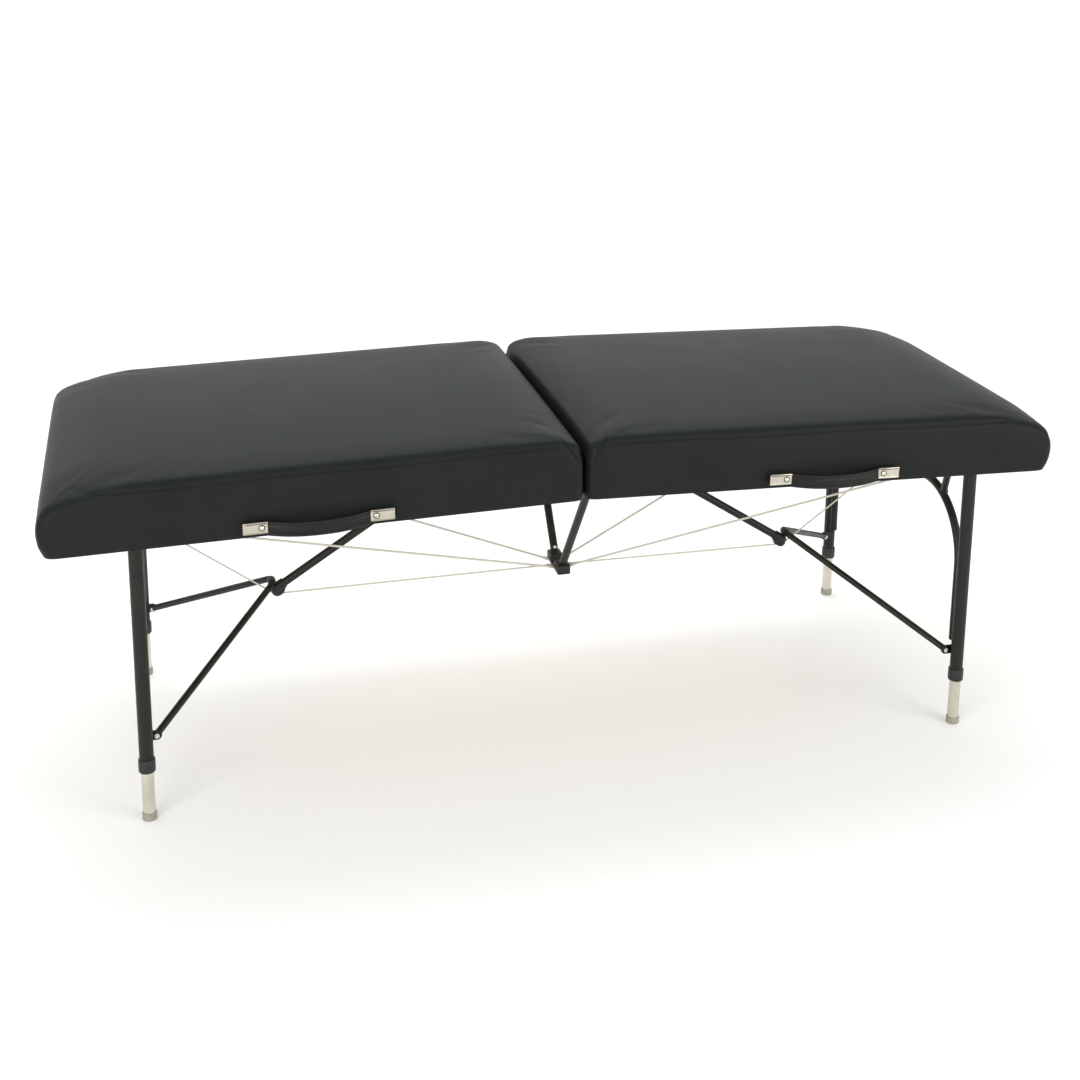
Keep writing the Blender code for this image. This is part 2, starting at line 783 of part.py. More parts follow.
# Taut cables from the shoe to the branches, and through the knuckles to the arches
def build_cables(side, name):
    start_x = half_point(1, king_u, king_w)[0] + side * shoe_half_x
    stand = branch_radius + ferrule_grow * cable_radius + fit_gap
    for way, tag in ((-1, "near"), (1, "far")):
        low, high = branch_ends(side, way)
        hold = low.lerp(high, anchor_share) - Vector((side * stand, 0.0, 0.0))
        first = Vector((start_x, way * cable_side, cable_z))
        first.x += side * rim(first, hold, cable_radius)
        wire(first, [], hold, cable_radius, name + "_cable_" + tag)
    first, under, last = brace_cable_stops(side)
    wire(first, [under], last, brace_cable_radius, name + "_cable_brace")


def wire(first, between, last, radius, name):
    stops = [first, *between, last]
    head = (stops[1] - first).normalized() * ferrule_long
    tail = (stops[-2] - last).normalized() * ferrule_long
    inner = [first + head * ferrule_taper] + list(between) + [last + tail * ferrule_taper]
    if between:
        inner = rounded(inner, cable_bend, 4)
    points = [first, first + head, *inner, last + tail, last]
    grow = [ferrule_grow, ferrule_grow] + [1.0] * len(inner) + [ferrule_grow, ferrule_grow]
    link(pipe(points, radius, grow, 1), name, "coated_wire")


frames = {}
for side, name in ((-1, "left"), (1, "right")):
    frames[name] = build_half(side, name)
    pivot_x, pivot_z, leg_x = leg_place(side)
    axis = empty(name + "_leg_axis", (pivot_x, 0.0, pivot_z))
    build_end(side, name, axis, pivot_x, pivot_z, leg_x)
    for way, tag in ((-1, "near"), (1, "far")):
        build_leg(side, way, name + "_" + tag, axis, leg_x, pivot_z + leg_head)
    build_brace(side, name, leg_x)
    build_strut(side, name)
    build_cables(side, name)
build_king(frames["right"])

for obj in list(scene.objects):
    if obj.parent is None:
        obj.location.y += centre_y
bpy.context.view_layer.update()
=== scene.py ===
import json
import math

import bmesh
import bpy
from mathutils import Matrix, Quaternion, Vector
from mathutils.bvhtree import BVHTree


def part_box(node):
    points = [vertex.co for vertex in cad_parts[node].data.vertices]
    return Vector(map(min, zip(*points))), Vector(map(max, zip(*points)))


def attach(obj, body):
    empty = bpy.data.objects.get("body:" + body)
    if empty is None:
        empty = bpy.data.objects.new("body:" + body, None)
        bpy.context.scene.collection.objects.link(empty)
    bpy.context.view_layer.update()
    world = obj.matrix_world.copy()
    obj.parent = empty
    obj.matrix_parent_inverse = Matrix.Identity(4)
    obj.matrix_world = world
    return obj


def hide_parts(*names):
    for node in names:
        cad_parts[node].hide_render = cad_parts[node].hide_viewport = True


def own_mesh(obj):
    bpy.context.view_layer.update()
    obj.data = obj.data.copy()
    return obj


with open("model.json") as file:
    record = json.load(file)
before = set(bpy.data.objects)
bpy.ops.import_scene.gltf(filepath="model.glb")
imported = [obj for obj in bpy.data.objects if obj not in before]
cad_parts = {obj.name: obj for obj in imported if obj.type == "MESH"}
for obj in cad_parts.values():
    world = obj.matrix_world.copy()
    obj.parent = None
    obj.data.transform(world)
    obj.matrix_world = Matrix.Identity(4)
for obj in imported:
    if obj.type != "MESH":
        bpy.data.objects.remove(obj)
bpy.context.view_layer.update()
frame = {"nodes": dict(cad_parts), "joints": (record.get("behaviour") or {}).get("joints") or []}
scene = bpy.context.scene
nodes = frame["nodes"]
joints = {joint["name"]: joint for joint in frame["joints"]}
print("frame loaded,", len(nodes), "nodes")

sides = ((-1, "left"), (1, "right"))
ways = ((-1, "near"), (1, "far"))
# middle line of the table
midY = (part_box("left_near_extension")[0].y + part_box("left_far_extension")[1].y) / 2
halfTop = {"splitHeight": 0.560, "camber": math.radians(1.36)}  # each half falls away from the split


# Helpers

def edgesIn(geom):
    return [g for g in geom if isinstance(g, bmesh.types.BMEdge)]


def newObject(name, bm):
    mesh = bpy.data.meshes.new(name)
    bm.to_mesh(mesh)
    bm.free()
    obj = bpy.data.objects.new(name, mesh)
    scene.collection.objects.link(obj)
    return obj


def dressPiece(obj, finish, body, stands="", smooth=40):
    obj.data.shade_smooth()
    obj.data.set_sharp_from_angle(angle=math.radians(smooth))
    obj.data.materials.clear()
    obj.data.materials.append(finishes[finish])
    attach(obj, body)
    if stands:
        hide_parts(stands)
    return obj


def newPiece(name, bm, finish, body, stands="", smooth=40):
    return dressPiece(newObject(name, bm), finish, body, stands, smooth)


def settle(obj):
    # makes the result of the modifiers the mesh itself
    graph = bpy.context.evaluated_depsgraph_get()
    graph.update()
    mesh = bpy.data.meshes.new_from_object(obj.evaluated_get(graph))
    obj.modifiers.clear()
    obj.data = mesh


def carve(obj, toolBm):
    tool = newObject("carveTool", toolBm)
    mod = obj.modifiers.new("carve", "BOOLEAN")
    mod.operation = "DIFFERENCE"
    mod.solver = "EXACT"
    mod.object = tool
    settle(obj)
    bpy.data.objects.remove(tool)


def setSockets(node, values):
    for name, value in values.items():
        node.inputs[name].default_value = value


def fixNormals(bm):
    bmesh.ops.recalc_face_normals(bm, faces=bm.faces)


def roundEdges(bm, edges, offset, segments, clamp=False):
    bmesh.ops.bevel(
        bm, geom=edges, offset=offset, segments=segments, affect="EDGES", profile=0.5, material=-1,
        clamp_overlap=clamp,
    )


def slicePlane(bm, place, normal, **clear):
    everything = bm.verts[:] + bm.edges[:] + bm.faces[:]
    cut = bmesh.ops.bisect_plane(bm, geom=everything, plane_co=place, plane_no=normal, **clear)
    return edgesIn(cut["geom_cut"])


def cutFlat(bm, place, normal):
    # takes off what is past the plane and closes the cut
    bmesh.ops.edgeloop_fill(bm, edges=slicePlane(bm, place, normal, clear_outer=True))


def bendPath(points, radius, steps):
    # straight runs joined by arcs
    path = [Vector(p) for p in points]
    out = [path[0]]
    for before, at, after in zip(path, path[1:], path[2:]):
        a = (before - at).normalized()
        b = (after - at).normalized()
        half = a.angle(b) / 2
        reach = radius / math.tan(half)
        middle = at + (a + b).normalized() * (radius / math.sin(half))
        first = at + a * reach - middle
        turn = first.rotation_difference(at + b * reach - middle)
        out += [middle + Quaternion().slerp(turn, i / steps) @ first for i in range(steps + 1)]
    out.append(path[-1])
    return out


def sweepTube(bm, path, radius, around=36):
    # a ring drawn along the path, closed at both ends, with a map of length and turn
    path = [Vector(p) for p in path]
    radii = list(radius) if isinstance(radius, (list, tuple)) else [radius] * len(path)
    uv = bm.loops.layers.uv.verify()
    across = (path[1] - path[0]).normalized().orthogonal().normalized()
    old = None
    run = 0.0
    marks = {}
    for i, point in enumerate(path):
        ahead = (path[min(i + 1, len(path) - 1)] - path[max(i - 1, 0)]).normalized()
        across = (across - ahead * across.dot(ahead)).normalized()
        turn = Matrix((across, ahead.cross(across), ahead)).transposed().to_4x4()
        place = Matrix.Translation(point) @ turn @ Matrix.Scale(radii[i], 4)
        if old is None:
            ring = bmesh.ops.create_circle(bm, segments=around, radius=1.0, matrix=place)["verts"]
            edges = list({e for v in ring for e in v.link_edges})
            bmesh.ops.edgeloop_fill(bm, edges=edges)
        else:
            run += (point - path[i - 1]).length
            grown = bmesh.ops.extrude_edge_only(bm, edges=edges)["geom"]
            ring = [g for g in grown if isinstance(g, bmesh.types.BMVert)]
            inRing = set(ring)
            edges = [e for e in edgesIn(grown) if all(v in inRing for v in e.verts)]
            bmesh.ops.transform(bm, matrix=place @ old.inverted(), verts=ring)
        old = place
        for v in ring:
            spot = turn.to_3x3().transposed() @ (v.co - point)
            marks[v] = (run, math.atan2(spot.y, spot.x) / (2 * math.pi))
    bmesh.ops.edgeloop_fill(bm, edges=edges)
    for face in {f for v in marks for f in v.link_faces}:
        turns = [marks[loop.vert][1] for loop in face.loops]
        for loop in face.loops:
            along, part = marks[loop.vert]
            if max(turns) - min(turns) > 0.5 and part < 0:
                part += 1.0
            loop[uv].uv = (along, part)
    fixNormals(bm)


def spinShape(bm, profile, place, steps, loop=False):
    # profile in (radius, height), turned about the height and put in place
    before = set(bm.verts)
    verts = [bm.verts.new((r, 0.0, h)) for r, h in profile]
    edges = [bm.edges.new(pair) for pair in zip(verts, verts[1:])]
    if loop:
        edges.append(bm.edges.new((verts[-1], verts[0])))
    bmesh.ops.spin(
        bm, geom=verts + edges, cent=(0, 0, 0), axis=(0, 0, 1), angle=2 * math.pi, steps=steps, use_merge=True
    )
    made = [v for v in bm.verts if v not in before]
    bmesh.ops.remove_doubles(bm, verts=made, dist=0.000002)
    made = [v for v in made if v.is_valid]
    bmesh.ops.recalc_face_normals(bm, faces=list({f for v in made for f in v.link_faces}))
    bmesh.ops.transform(bm, matrix=place, verts=made)


def ringProfile(inner, outer, low, high):
    return ((inner, low), (outer, low), (outer, high), (inner, high))


def boxShape(bm, size, place, bevel=0.0, segments=2):
    made = bmesh.ops.create_cube(bm, size=1.0, matrix=place @ Matrix.Diagonal((*size, 1.0)))["verts"]
    if bevel:
        roundEdges(bm, list({e for v in made for e in v.link_edges}), bevel, segments)


def rodShape(bm, start, end, radius, around, bevel=0.0):
    along = Vector(end) - Vector(start)
    made = bmesh.ops.create_cone(
        bm, cap_ends=True, segments=around, radius1=radius, radius2=radius, depth=along.length,
        matrix=facing(along, (Vector(start) + Vector(end)) / 2),
    )["verts"]
    if bevel:
        edges = {e for v in made for e in v.link_edges}
        roundEdges(bm, [e for e in edges if any(len(f.verts) > 4 for f in e.link_faces)], bevel, 2)


def facing(direction, place):
    # height axis of a shape laid along direction
    return Matrix.Translation(place) @ Vector(direction).to_track_quat("Z", "Y").to_matrix().to_4x4()


def halfPlace(side):
    # from a half's own length, width and height to the frame
    turn = Matrix.Rotation(side * halfTop["camber"], 4, "Y")
    return Matrix.Translation((0.0, midY, halfTop["splitHeight"])) @ turn @ Matrix.Diagonal((side, 1.0, 1.0, 1.0))


def legAxis(half, way):
    low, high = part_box(f"{half}_{way}_extension")
    return (low.x + high.x) / 2, (low.y + high.y) / 2


# Camera and studio

cameraSet = {
    "place": (-0.73501, -2.93285 + midY, 1.62015),
    "right": (0.96650, -0.25643, 0.01104),
    "up": (0.04892, 0.22627, 0.97284),
    "lens": 53.37, "sensor": 36, "sight": 60,
    "shift": (-0.0247, -0.25),  # no larger, so that other views keep the whole table
}
floorSet = {
    "size": 24.0, "backY": 5.0, "bend": 2.5, "bendSteps": 16, "wall": 7.0,
    "colour": (0.94, 0.94, 0.94), "rough": 0.9, "glow": 0.05,
}
lightSet = (  # name, place, aim, size, power, colour
    ("overheadSoftbox", (0.0, 1.2, 3.0), (0.0, 0.0, 0.6), (3.6, 1.8), 30, (0.94, 0.99, 1.0)),
    ("keySoftbox", (-3.0, -3.4, 1.5), (0.0, 0.3, 0.1), (2.6, 1.6), 92, (1.0, 0.96, 0.90)),
    ("fillSoftbox", (3.0, -3.4, 1.5), (0.0, 0.3, 0.1), (2.6, 1.6), 85, (1.0, 0.96, 0.90)),
    ("backdropWash", (0.0, 1.6, 4.6), (0.0, 5.0, 2.2), (9.0, 1.5), 95, (1.0, 1.0, 1.0)),
)
worldSet = {"colour": (0.96, 1.0, 1.02), "strength": 0.72}


def addCamera(look):
    data = bpy.data.cameras.new("photoCamera")
    data.lens = look["lens"]
    data.sensor_width = look["sensor"]
    data.shift_x, data.shift_y = look["shift"]
    data.clip_end = look["sight"]
    camera = bpy.data.objects.new("photoCamera", data)
    right = Vector(look["right"]).normalized()
    back = right.cross(Vector(look["up"])).normalized()
    turn = Matrix((right, back.cross(right), back)).transposed().to_4x4()
    camera.matrix_world = Matrix.Translation(look["place"]) @ turn
    scene.collection.objects.link(camera)
    scene.camera = camera


def addFloor(look):
    # paper that runs up the wall in one sweep
    bm = bmesh.new()
    half, back, bend = look["size"] / 2, look["backY"], look["bend"]
    edge = bm.edges.new([bm.verts.new((x, -half, 0.0)) for x in (-half, half)])
    for step in ((0.0, half + back - bend, 0.0), (0.0, bend, 0.0), (0.0, 0.0, look["wall"])):
        grown = bmesh.ops.extrude_edge_only(bm, edges=[edge])["geom"]
        edge = [e for e in edgesIn(grown) if all(v in grown for v in e.verts)][0]
        bmesh.ops.translate(bm, vec=step, verts=list(edge.verts))
    corner = [e for e in bm.edges if all(abs(v.co.y - back) < 0.01 and v.co.z < 0.01 for v in e.verts)]
    roundEdges(bm, corner, bend, look["bendSteps"])
    fixNormals(bm)
    if sum(f.normal.z for f in bm.faces) < 0:
        bmesh.ops.reverse_faces(bm, faces=bm.faces)
    floor = newObject("studioFloor", bm)
    floor.data.shade_smooth()
    paper = bpy.data.materials.new("palePaper")
    paper.use_nodes = True
    colour = (*look["colour"], 1.0)
    setSockets(paper.node_tree.nodes["Principled BSDF"], {
        "Base Color": colour, "Roughness": look["rough"], "Emission Color": colour, "Emission Strength": look["glow"],
    })
    floor.data.materials.append(paper)


def addLights(lights, sky):
    for name, place, aim, size, power, colour in lights:
        data = bpy.data.lights.new(name, "AREA")
        data.shape = "RECTANGLE"
        data.size, data.size_y = size
        data.energy = power
        data.color = colour
        lamp = bpy.data.objects.new(name, data)
        lamp.location = place
        lamp.rotation_euler = (Vector(aim) - Vector(place)).to_track_quat("-Z", "Y").to_euler()
        scene.collection.objects.link(lamp)
    world = bpy.data.worlds.new("studioSky")
    world.use_nodes = True
    setSockets(world.node_tree.nodes["Background"], {"Color": (*sky["colour"], 1.0), "Strength": sky["strength"]})
    scene.world = world
    scene.view_settings.view_transform = "Standard"  # white paper stays white


addCamera(cameraSet)
addFloor(floorSet)
addLights(lightSet, worldSet)
print("camera and studio set")


# Finishes: every one has a colour drift, a roughness drift and a surface relief

finishBase = {"metal": 0.0, "coat": 0.0, "sheen": 0.0, "gloss": 0.5}  # for what a finish leaves out
finishSet = {
    "padVinyl": {
        "slot": "vinyl", "colour": (0.0118, 0.0136, 0.0136), "drift": (0.0140, 0.0160, 0.0160), "driftScale": 9,
        "rough": (0.44, 0.48), "relief": "grain", "scale": 620, "depth": 0.00022, "gloss": 0.085,
    },
    "strapVinyl": {
        "slot": "strap_vinyl", "colour": (0.0048, 0.005, 0.0044), "drift": (0.0085, 0.0088, 0.0078), "driftScale": 40,
        "rough": (0.40, 0.55), "relief": "grain", "scale": 1100, "depth": 0.00015, "gloss": 0.24,
    },
    "stitchThread": {
        "slot": "strap_vinyl", "colour": (0.012, 0.012, 0.012), "drift": (0.028, 0.028, 0.028), "driftScale": 300,
        "rough": (0.6, 0.8), "relief": "cast", "scale": 2600, "depth": 0.0001, "sheen": 0.1, "gloss": 0.3,
    },
    "blackCoat": {
        "slot": "black_coat", "colour": (0.0066, 0.0074, 0.0052), "drift": (0.0108, 0.0116, 0.0084), "driftScale": 22,
        "rough": (0.36, 0.48), "relief": "peel", "scale": 750, "depth": 0.00006, "gloss": 0.28,
    },
    "blackCast": {
        "slot": "black_cast", "colour": (0.007, 0.007, 0.007), "drift": (0.012, 0.012, 0.012), "driftScale": 60,
        "rough": (0.45, 0.62), "relief": "cast", "scale": 1500, "depth": 0.0001, "gloss": 0.35,
    },
    "collarPlastic": {
        "slot": "grey_plastic", "colour": (0.010, 0.010, 0.010), "drift": (0.017, 0.017, 0.017), "driftScale": 50,
        "rough": (0.4, 0.55), "relief": "cast", "scale": 1300, "depth": 0.00008, "gloss": 0.4,
    },
    "anodised": {
        "slot": "anodised", "colour": (0.58, 0.56, 0.47), "drift": (0.68, 0.66, 0.57), "driftScale": 14,
        "rough": (0.26, 0.4), "relief": "drawn", "scale": 900, "depth": 0.00003, "metal": 1.0,
    },
    "nickel": {
        "slot": "nickel", "colour": (0.45, 0.41, 0.335), "drift": (0.57, 0.525, 0.44), "driftScale": 60,
        "rough": (0.14, 0.26), "relief": "drawn", "scale": 500, "depth": 0.00002, "metal": 1.0,
    },
    "zinc": {
        "slot": "zinc", "colour": (0.58, 0.58, 0.56), "drift": (0.74, 0.74, 0.71), "driftScale": 90,
        "rough": (0.25, 0.42), "relief": "peel", "scale": 700, "depth": 0.00003, "metal": 1.0,
    },
    "paleRubber": {
        "slot": "pale_rubber", "colour": (0.27, 0.265, 0.225), "drift": (0.34, 0.33, 0.285), "driftScale": 70,
        "rough": (0.7, 0.88), "relief": "cast", "scale": 1200, "depth": 0.00012,
    },
    "plywood": {
        "colour": (0.42, 0.29, 0.16), "drift": (0.62, 0.47, 0.29),
        "rough": (0.5, 0.68), "relief": "wood", "scale": 34, "depth": 0.0003,
    },
    "railWood": {
        "colour": (0.05, 0.043, 0.036), "drift": (0.12, 0.10, 0.08),
        "rough": (0.5, 0.7), "relief": "wood", "scale": 40, "depth": 0.0003,
    },
    "coatedWire": {
        "slot": "coated_wire", "colour": (0.40, 0.38, 0.32), "drift": (0.62, 0.60, 0.53),
        "rough": (0.25, 0.4), "relief": "lay", "scale": 1, "depth": 0.0002, "coat": 0.4,
    },
}
patternSet = {
    "ramp": (0.32, 0.68), "roughFrom": (0.3, 0.7), "bump": 0.6, "coatRough": 0.3, "driftDetail": 4,
    "stretch": {"drawn": (1.0, 1.0, 0.03), "wood": (0.08, 1.0, 1.0)}, "lineDetail": 6,
    "fineDetail": {"peel": 2, "cast": 8}, "wander": 0.0012, "wanderScale": 0.4, "layWander": 0.4,
}
finishes = {}


def addNoise(tree, spot, scale, detail=2):
    noise = tree.nodes.new("ShaderNodeTexNoise")
    setSockets(noise, {"Scale": scale, "Detail": detail})
    tree.links.new(spot, noise.inputs["Vector"])
    return noise


def patternFor(tree, look):
    # returns the pattern that drives colour and the one that drives relief
    maps = tree.nodes.new("ShaderNodeTexCoord")
    spot = maps.outputs["Object"]
    kind, scale = look["relief"], look["scale"]
    if kind == "lay":  # strands seen through the coat, on the cable's own map
        twist = tree.nodes.new("ShaderNodeTexWave")
        setSockets(twist, {"Scale": scale, "Distortion": patternSet["layWander"]})
        twist.bands_direction = "DIAGONAL"
        tree.links.new(maps.outputs["UV"], twist.inputs["Vector"])
        return twist.outputs["Fac"], twist.outputs["Fac"]
    if kind in patternSet["stretch"]:
        stretch = tree.nodes.new("ShaderNodeMapping")
        stretch.inputs["Scale"].default_value = patternSet["stretch"][kind]
        tree.links.new(spot, stretch.inputs["Vector"])
        relief = addNoise(tree, stretch.outputs["Vector"], scale, patternSet["lineDetail"]).outputs["Fac"]
        if kind == "wood":
            return relief, relief
    elif kind == "grain":
        wander = addNoise(tree, spot, scale * patternSet["wanderScale"])
        bend = tree.nodes.new("ShaderNodeVectorMath")
        bend.operation = "MULTIPLY_ADD"
        bend.inputs[1].default_value = [patternSet["wander"]] * 3
        cells = tree.nodes.new("ShaderNodeTexVoronoi")
        cells.feature = "DISTANCE_TO_EDGE"
        cells.inputs["Scale"].default_value = scale
        tree.links.new(wander.outputs["Color"], bend.inputs[0])
        tree.links.new(spot, bend.inputs[2])
        tree.links.new(bend.outputs["Vector"], cells.inputs["Vector"])
        relief = cells.outputs["Distance"]
    else:
        relief = addNoise(tree, spot, scale, patternSet["fineDetail"][kind]).outputs["Fac"]
    return addNoise(tree, spot, look["driftScale"], patternSet["driftDetail"]).outputs["Fac"], relief


def makeFinish(name, look):
    mat = bpy.data.materials.new(name)
    mat.use_nodes = True
    tree = mat.node_tree
    shader = tree.nodes["Principled BSDF"]
    colourFrom, reliefFrom = patternFor(tree, look)
    ramp = tree.nodes.new("ShaderNodeValToRGB")
    for stop, place, colour in zip(ramp.color_ramp.elements, patternSet["ramp"], (look["colour"], look["drift"])):
        stop.position = place
        stop.color = (*colour, 1.0)
    tree.links.new(colourFrom, ramp.inputs["Fac"])
    tree.links.new(ramp.outputs["Color"], shader.inputs["Base Color"])
    gloss = tree.nodes.new("ShaderNodeMapRange")
    fromTo = (*patternSet["roughFrom"], *look["rough"])
    setSockets(gloss, dict(zip(("From Min", "From Max", "To Min", "To Max"), fromTo)))
    tree.links.new(colourFrom, gloss.inputs["Value"])
    tree.links.new(gloss.outputs["Result"], shader.inputs["Roughness"])
    bump = tree.nodes.new("ShaderNodeBump")
    setSockets(bump, {"Strength": patternSet["bump"], "Distance": look["depth"]})
    tree.links.new(reliefFrom, bump.inputs["Height"])
    tree.links.new(bump.outputs["Normal"], shader.inputs["Normal"])
    setSockets(shader, {
        "Metallic": look["metal"], "Specular IOR Level": look["gloss"], "Coat Weight": look["coat"],
        "Coat Roughness": patternSet["coatRough"], "Sheen Weight": look["sheen"],
    })
    finishes[name] = mat


for finishName, finishLook in finishSet.items():
    makeFinish(finishName, {**finishBase, **finishLook})
print("finishes made:", len(finishes))

keptFinish = {"king_hanger": "blackCoat"}  # solids that are right as they are, with the finish they get
for _, half in sides:
    keptFinish[half + "_frame"] = "railWood"
    keptFinish[half + "_deck"] = "plywood"
    keptFinish[half + "_strut_bracket"] = "blackCoat"
    keptFinish[half + "_leg_rod"] = keptFinish[half + "_hinge_leaf"] = "zinc"
for name, finish in keptFinish.items():
    nodes[name].data.materials.clear()
    nodes[name].data.materials.append(finishes[finish])


# Legs: tubes with lugs and a row of holes, collars, extensions, tips, buttons

legSet = {
    "radius": 0.0127, "wall": 0.0013, "around": 56,
    "buttonZ": 0.415, "holePitch": 0.0254, "holes": range(-7, 4), "holeRadius": 0.0033,
}
lugSet = {"in": 0.0194, "z": 0.154, "radius": 0.009, "thick": 0.004, "sunk": 0.3, "slim": 0.0002, "bevel": 0.0006}
nutSet = {"across": 0.0052, "boltRadius": 0.0027, "boltPast": 0.0012, "bevel": 0.0005}
collarSet = {
    "sleeve": 0.0130, "lip": 0.0114, "outer": 0.0150, "top": 0.119, "step": 0.1003, "bottom": 0.094, "round": 0.0022,
}
extensionSet = {
    "radius": 0.0111, "wall": 0.0016, "top": 0.430, "bottom": 0.006,
    "holes": range(0, -4, -1),  # room for the button at rest and with the leg shortened
}
tipSet = {
    "outer": 0.0129, "top": 0.0123, "height": 0.014, "inner": 0.0114, "floor": 0.0055,
    "grooves": (0.0105, 0.0075, 0.0045), "groove": ((-0.0002, 0.0008), (-0.0008, 0.0), (-0.0001, -0.0008)),
    "toe": ((0.0, 0.002), (-0.0006, 0.0004), (-0.0014, 0.0)),
}
buttonSet = {"radius": 0.003, "dome": ((0.0, 0.0), (0.0013, 0.0001), (0.0023, 0.0006), (0.0029, 0.0015))}


def drillRow(obj, x, y, side, inner, outer, holes):
    # holes for the snap button in the outer face of a tube
    tool = bmesh.new()
    for step in holes:
        z = legSet["buttonZ"] + step * legSet["holePitch"]
        rodShape(tool, (x + side * inner * 0.5, y, z), (x + side * outer * 1.5, y, z), legSet["holeRadius"], 24)
    carve(obj, tool)


def makeLeg(side, half, way, sign):
    x, y = legAxis(half, way)
    name = f"{half}_{way}"
    legs, slide = half + "_legs", name + "_extension"
    stand = Matrix.Translation((x, y, 0.0))
    low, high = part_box(name + "_leg")
    outer = legSet["radius"]
    inner = outer - legSet["wall"]
    rim = legSet["wall"] / 3
    bm = bmesh.new()
    tube = (
        (inner, high.z - rim), (inner + rim, high.z), (outer - rim, high.z), (outer, high.z - rim),
        (outer, low.z + rim), (outer - rim, low.z), (inner + rim, low.z), (inner, low.z + rim),
    )
    spinShape(bm, tube, stand, legSet["around"], True)
    leg = newPiece(name + "_legTube", bm, "blackCoat", legs, name + "_leg")
    drillRow(leg, x, y, side, inner, outer, legSet["holes"])
    dressPiece(leg, "blackCoat", legs)

    g = lugSet
    lugX = x - side * g["in"]
    lugY = y - sign * (inner + g["thick"] / 2)
    flat = g["thick"] / 2
    bm = bmesh.new()
    rodShape(bm, (lugX, lugY - flat, g["z"]), (lugX, lugY + flat, g["z"]), g["radius"], 36, g["bevel"])
    reach = (abs(lugX - x) - outer * g["sunk"], 2 * flat - g["slim"], 2 * g["radius"])
    boxShape(bm, reach, Matrix.Translation((lugX + side * reach[0] / 2, lugY, g["z"])), g["bevel"])
    newPiece(name + "_lugPlate", bm, "blackCoat", legs)

    n = nutSet
    nutLow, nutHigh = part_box(name + "_brace_nut")
    nutY = (nutLow.y + nutHigh.y) / 2
    flat = (nutHigh.y - nutLow.y) / 2
    end = nutY + sign * (flat + n["boltPast"])
    bm = bmesh.new()
    rodShape(bm, (lugX, nutY - flat, g["z"]), (lugX, nutY + flat, g["z"]), n["across"], 6, n["bevel"])
    rodShape(bm, (lugX, nutY, g["z"]), (lugX, end, g["z"]), n["boltRadius"], 20, n["bevel"])
    newPiece(name + "_lugNut", bm, "zinc", legs, name + "_brace_nut", 30)

    c = collarSet
    edge, soft = c["outer"] - c["round"], c["round"] * 0.3
    bm = bmesh.new()
    ring = (
        (c["sleeve"], c["top"]), (edge, c["top"]), (c["outer"] - soft, c["top"] - soft),
        (c["outer"], c["top"] - c["round"]), (c["outer"], c["bottom"] + c["round"]),
        (c["outer"] - soft, c["bottom"] + soft), (edge, c["bottom"]),
        (c["lip"], c["bottom"]), (c["lip"], c["step"]), (c["sleeve"], c["step"]),
    )
    spinShape(bm, ring, stand, legSet["around"], True)
    newPiece(name + "_legCollar", bm, "collarPlastic", legs, name + "_collar", 30)

    e = extensionSet
    bore = e["radius"] - e["wall"]
    bm = bmesh.new()
    spinShape(bm, ringProfile(bore, e["radius"], e["top"], e["bottom"]), stand, legSet["around"], True)
    inside = newPiece(name + "_legExtension", bm, "anodised", slide, name + "_extension")
    drillRow(inside, x, y, side, bore, e["radius"], e["holes"])
    dressPiece(inside, "anodised", slide)

    t = tipSet
    bm = bmesh.new()
    skin = [(0.0, t["floor"]), (t["inner"], t["floor"]), (t["inner"], t["height"]), (t["top"], t["height"])]
    skin += [(t["outer"] + out, z + up) for z in t["grooves"] for out, up in t["groove"]]
    skin += [(t["outer"] + out, up) for out, up in t["toe"]] + [(0.0, 0.0)]
    spinShape(bm, skin, stand, legSet["around"])
    newPiece(name + "_legTip", bm, "paleRubber", slide, name + "_foot", 50)

    low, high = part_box(name + "_button")
    tall = high.x - low.x
    bm = bmesh.new()
    dome = [(r, tall - down) for r, down in buttonSet["dome"]] + [(buttonSet["radius"], 0.0), (0.0, 0.0)]
    spinShape(bm, dome, facing((side, 0, 0), (low.x if side > 0 else high.x, y, legSet["buttonZ"])), 28)
    newPiece(name + "_snapButton", bm, "zinc", name + "_button", name + "_button", 50)


# End frames: pivot tube, bent arch, two branches, with weld beads

archSet = {"radius": 0.008, "foot": 0.171, "top": 0.463, "bend": 0.135, "legGap": 0.0003}
branchSet = {"radius": 0.007, "lowIn": 0.100, "topIn": 0.028}
pivotSet = {"radius": 0.0077, "bore": 0.0053, "past": 0.008}
weldSet = {"radius": 0.0022, "points": 48, "ripple": 0.06, "waves": 12, "sunk": 0.95}


def pivotSpot(half):
    low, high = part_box(half + "_leg_rod")
    return (low + high) / 2


def archReach(half):
    # from the middle line to the legs and to the arch's uprights
    legY = legAxis(half, "far")[1] - midY
    return legY, legY - legSet["radius"] - archSet["legGap"] - archSet["radius"]


def branchEnds(half, sign):
    legY, archY = archReach(half)
    over = legY - branchSet["lowIn"] - (archY - archSet["bend"])
    lowZ = archSet["top"] - archSet["bend"] + math.sqrt(archSet["bend"] ** 2 - over ** 2)
    pivot = pivotSpot(half)
    low = Vector((legAxis(half, "far")[0], midY + sign * (legY - branchSet["lowIn"]), lowZ))
    return low, Vector((pivot.x, midY + sign * (legY - branchSet["topIn"]), pivot.z))


def weldBead(bm, centre, axis):
    # a rippled ring of weld metal round a branch
    turn = facing(axis, centre)
    ring = []
    for i in range(weldSet["points"] + 1):
        t = 2 * math.pi * i / weldSet["points"]
        r = branchSet["radius"] * (1 + weldSet["ripple"] * math.sin(weldSet["waves"] * t))
        ring.append(turn @ Vector((r * math.cos(t), r * math.sin(t), 0.0)))
    sweepTube(bm, ring, weldSet["radius"], 10)


